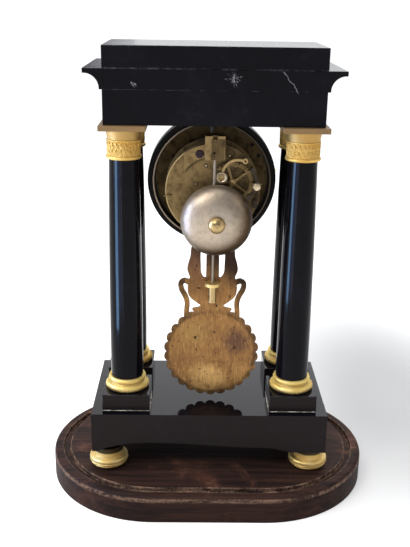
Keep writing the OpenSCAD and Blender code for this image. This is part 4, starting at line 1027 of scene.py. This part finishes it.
def rollPath(first, last, slant, count):
    points = []
    for k in range(count):
        share = k / (count - 1)
        t = math.radians(first + (last - first) * share)
        points.append((baseLook["roll"] * math.cos(t), slant * (share - 0.5), baseLook["roll"] * math.sin(t)))
    return points


for name, (side, count, arc, slant, widths) in baseLook["rows"].items():
    form = Form()
    form.rod(rollPath(*arc, slant, len(widths)), widths)
    woven(name, form, {"Count": count, "Radius": baseLook["ring"], "Columns": 2, "Span": 2 * columnX,
                       "Place": (-columnX, side * columnY, baseLook["level"])}, "column_bases", "gilt")
print("capitals and bases chased")

# feet: turned lines round the bowl
footLook = {"x": 0.11555, "y": 0.05195, "lines": ((0.0205, 0.0372), (0.0215, 0.0398)), "line": 0.00045}
hoops = Form()
t = footLook["line"]
for sx in (-1, 1):
    for sy in (-1, 1):
        middle = Matrix.Translation((sx * footLook["x"], sy * footLook["y"], 0))
        for radius, level in footLook["lines"]:
            outline = [(radius + t, level), (radius, level + t), (radius - t, level), (radius, level - t)]
            hoops.turned(outline, middle, 64, True)
formed("foot_lines", hoops, "feet", "giltFoot", 60)

# dial: numerals, minute track, winding collets and bezel beads
dialLook = {
    "face": -0.0460, "axis": 0.3493, "inner": 0.0370, "outer": 0.0480, "ink": 0.00010,
    "bed": -0.00005, "gap": 0.5, "serif": (1.2, 0.45),      # ink starts below the face; gap and serif in mm
    "track": (0.0506, 0.0534), "line": 0.00022, "marks": {"minute_marks": (60, 0.00016),
                                                          "five_minute_marks": (12, 0.00050)},
    "winding": ((0.02557, -0.01302), (-0.02550, -0.01305)), "hole": 0.0035,
    "collet": ((0.0, -0.0004), (0.0012, -0.0001), (0.0011, 0.0004), (0.0005, 0.0006), (0.0, 0.0003)),
    "beads": 108, "beadRing": 0.0602, "beadAt": -0.0640, "bead": 0.00105,
}
numerals = ["XII", "I", "II", "III", "IIII", "V", "VI", "VII", "VIII", "IX", "X", "XI"]
strokes = {      # foot x, head x, width, in mm, and the sign's own width
    "I": ([(1.2, 1.2, 1.5)], 2.4),
    "V": ([(2.8, 1.0, 1.5), (2.8, 4.7, 0.5)], 5.6),
    "X": ([(4.8, 1.0, 1.5), (1.0, 4.8, 0.5)], 5.8),
}


def dialPlace(hour):
    t = math.radians(30 * hour)
    out, side = Vector((math.sin(t), 0, math.cos(t))), Vector((math.cos(t), 0, -math.sin(t)))
    turn = Matrix((side, out, Vector((0, -1, 0)))).transposed().to_4x4()
    return Matrix.Translation((0, dialLook["face"], dialLook["axis"])) @ turn


def drawNumeral(form, hour):
    turn, tall = dialPlace(hour), (dialLook["outer"] - dialLook["inner"]) * 1000
    signs, foot = numerals[hour], dialLook["inner"] * 1000
    gap, (reach, thick) = dialLook["gap"], dialLook["serif"]
    x = -(sum(strokes[s][1] for s in signs) + gap * (len(signs) - 1)) / 2
    for sign in signs:
        for low, high, width in strokes[sign][0]:
            half = width / 2
            quads = [[(low - half, 0.0), (low + half, 0.0), (high + half, tall), (high - half, tall)]]
            quads += [[(c - reach, e), (c + reach, e), (c + reach, e + thick), (c - reach, e + thick)]
                      for c, e in ((low, 0.0), (high, tall - thick))]
            for k, quad in enumerate(quads):
                corners = [((px + x) / 1000, (py + foot) / 1000) for px, py in quad]
                form.slab(corners, dialLook["bed"], dialLook["ink"] * (1 + 0.2 * k), turn)
        x += strokes[sign][1] + gap


marks = Form()
for hour in range(12):
    drawNumeral(marks, hour)
bed, ink = dialLook["bed"], dialLook["ink"]
t = dialLook["line"] / 2
for radius in dialLook["track"]:
    outline = [(radius - t, bed), (radius + t, bed), (radius + t, ink), (radius - t, ink)]
    marks.turned(outline, toFront(0, dialLook["face"], dialLook["axis"]), 128, True)
formed("dial_numerals", marks, "dial", "ink", 30)
inner, outer = dialLook["track"]
middle, half = (inner + outer) / 2, (outer - inner) / 2
for name, (count, wide) in dialLook["marks"].items():
    mark = Form()
    mark.slab([(-half, -wide), (half, -wide), (half, wide), (-half, wide)], bed, ink * 1.1)
    woven(name, mark, {"Count": count, "Radius": middle, "Tip": math.pi / 2,
                       "Place": (0.0, dialLook["face"], dialLook["axis"])}, "dial", "ink", 30)
collets = Form()
for x, z in dialLook["winding"]:
    outline = [(dialLook["hole"] + out, high) for out, high in dialLook["collet"]]
    collets.turned(outline, toFront(x, dialLook["face"], dialLook["axis"] + z), 48, True)
formed("winding_collets", collets, "dial", "giltBezel")
woven("bezel_beads", ballForm(dialLook["bead"]),
      {"Count": dialLook["beads"], "Radius": dialLook["beadRing"], "Tip": math.pi / 2,
       "Place": (0.0, dialLook["beadAt"], dialLook["axis"])}, "bezel", "giltBezel")
print("dial drawn")

# turned details at the rear: oil sinks, pivot ends, screw seat, a near-black disc of painted shade for the
# peg hole, bosses and hub
arbors = ((18.47, 6.72), (-5.08, 17.48), (7.29, 27.07), (-17.65, 37.97), (-10.16, 44.25), (25.57, -13.02))
underHead = 1.8
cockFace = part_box("cock_screw")[1][1] * 1000 - underHead
cheekLook = {"x": (-0.0112, 0.0024), "z": (0.3862, 0.4078), "y": (0.0388, 0.0397)}
turnedRows = {   # node, finish, x and z of each from the dial's axis, rear face, and radius and height, in mm
    "oil_sinks": ("back_plate", "falsePlate", arbors, 20.0,
                  ((2.1, -0.1), (2.1, 0.08), (1.9, 0.15), (1.0, 0.06), (1.0, -0.1))),
    "pivot_ends": ("back_plate", "pale", arbors, 20.0, ((1.0, -0.2), (1.0, 0.3), (0.7, 0.6), (0.2, 0.7))),
    "screw_seat": ("suspension_cock", "screw", ((14.4, 40.3),), cockFace,
                   ((3.3, -0.2), (4.7, -0.2), (4.6, 0.3), (3.4, 0.4))),
    # a near-black disc of painted shade where the peg hole is
    "peg_hole_shade": ("suspension_cock", "soot", ((-0.7, 44.3),), cheekLook["y"][1] * 1000,
                 ((1.2, -0.3), (1.2, 0.08), (0.3, 0.10))),
    "detent_ring": ("detent_lever", "pale", ((-9.0, 16.0),), 29.6,
                    ((3.5, -0.6), (6.3, -1.6), (6.5, -0.2), (5.9, 0.7), (4.6, 0.9), (3.6, 0.3))),
    "count_hub": ("count_wheel", "nut", ((-21.4, 10.2),), 25.2,
                  ((2.5, -0.2), (2.4, 0.9), (1.8, 1.4), (0.4, 1.5))),
    "hammer_knob": ("hammer", "pale", ((-46.4, 8.0),), 36.4,
                    ((4.2, -3.2), (4.3, -0.4), (3.6, 0.8), (2.2, 1.3), (0.4, 1.4))),
}
openRings = ("oil_sinks", "screw_seat", "detent_ring")
sidesOf = {"oil_sinks": 32, "pivot_ends": 20, "peg_hole_shade": 24}       # the others have 40
smoothOf = {"detent_ring": 30, "count_hub": 30, "hammer_knob": 30}   # degrees, the others 40
for name, (node, finish, places, rear, outline) in turnedRows.items():
    form = Form()
    for x, z in places:
        turn = toRear(x / 1000, rear / 1000, dialLook["axis"] + z / 1000)
        profile = [(r / 1000, h / 1000) for r, h in outline]
        form.turned(profile, turn, sidesOf.get(name, 40), name in openRings)
    formed(name, form, node, finish, smoothOf.get(name, 40))

# suspension: a cheek over the slot of the cock
cheek = Form()
(left, right), (bottom, top) = cheekLook["x"], cheekLook["z"]
cheek.slab([(left, -bottom), (right, -bottom), (right, -top), (left, -top)], *cheekLook["y"], toRear(0, 0, 0))
formed("cock_cheek", cheek, "suspension_cock", "cheek", 30)

# bob: its lug and stem
refinish(softened["pendulum_bob"], "gilt", lambda at: at.y > bobLook["lug"])
refinish(softened["pendulum_bob"], "boss", lambda at: at.y > bobLook["lug"] and at.z < bobLook["stem"])

# plaster left along the feet of the rear blocks
plasterLook = {
    "level": 0.1046, "half": 0.02665, "wide": 0.0011, "tall": 0.0009,
    "bed": 0.0003, "sunk": 0.0002,       # how far it reaches into the block and into the plinth
    "inward": 0.012, "steps": 40,
}


def plasterLine(form, start, end, out, seed):
    start, end, out = Vector(start), Vector(end), Vector(out)
    loops, count = [], plasterLook["steps"]
    bed, sunk = out * plasterLook["bed"], Vector((0, 0, plasterLook["sunk"]))
    for k in range(count + 1):
        rag = 0.55 + 0.45 * math.sin(seed + 2.3 * k) * math.sin(0.7 * seed + 1.1 * k)
        ease = min(1.0, k / 2, (count - k) / 2) + 0.05
        wide, tall = plasterLook["wide"] * rag * ease, plasterLook["tall"] * (1.4 - rag) * ease
        at = start.lerp(end, k / count)
        loops.append([at - bed - sunk, at + out * wide - sunk,
                      at + out * wide * 0.3 + Vector((0, 0, tall * 0.7)), at - bed + Vector((0, 0, tall))])
    form.skin(loops)


plaster = Form()
rear, level = columnY + plasterLook["half"], plasterLook["level"]
for sx in (-1, 1):
    outer, inner = sx * (columnX + plasterLook["half"]), sx * (columnX - plasterLook["half"])
    plasterLine(plaster, (outer, rear, level), (inner, rear, level), (0, 1, 0), 1.3 + sx)
    plasterLine(plaster, (inner, rear, level), (inner, plasterLook["inward"], level), (-sx, 0, 0), 4.1 + sx)
formed("plaster_lines", plaster, "plinth", "plaster", 30)
print("plate and plaster added")
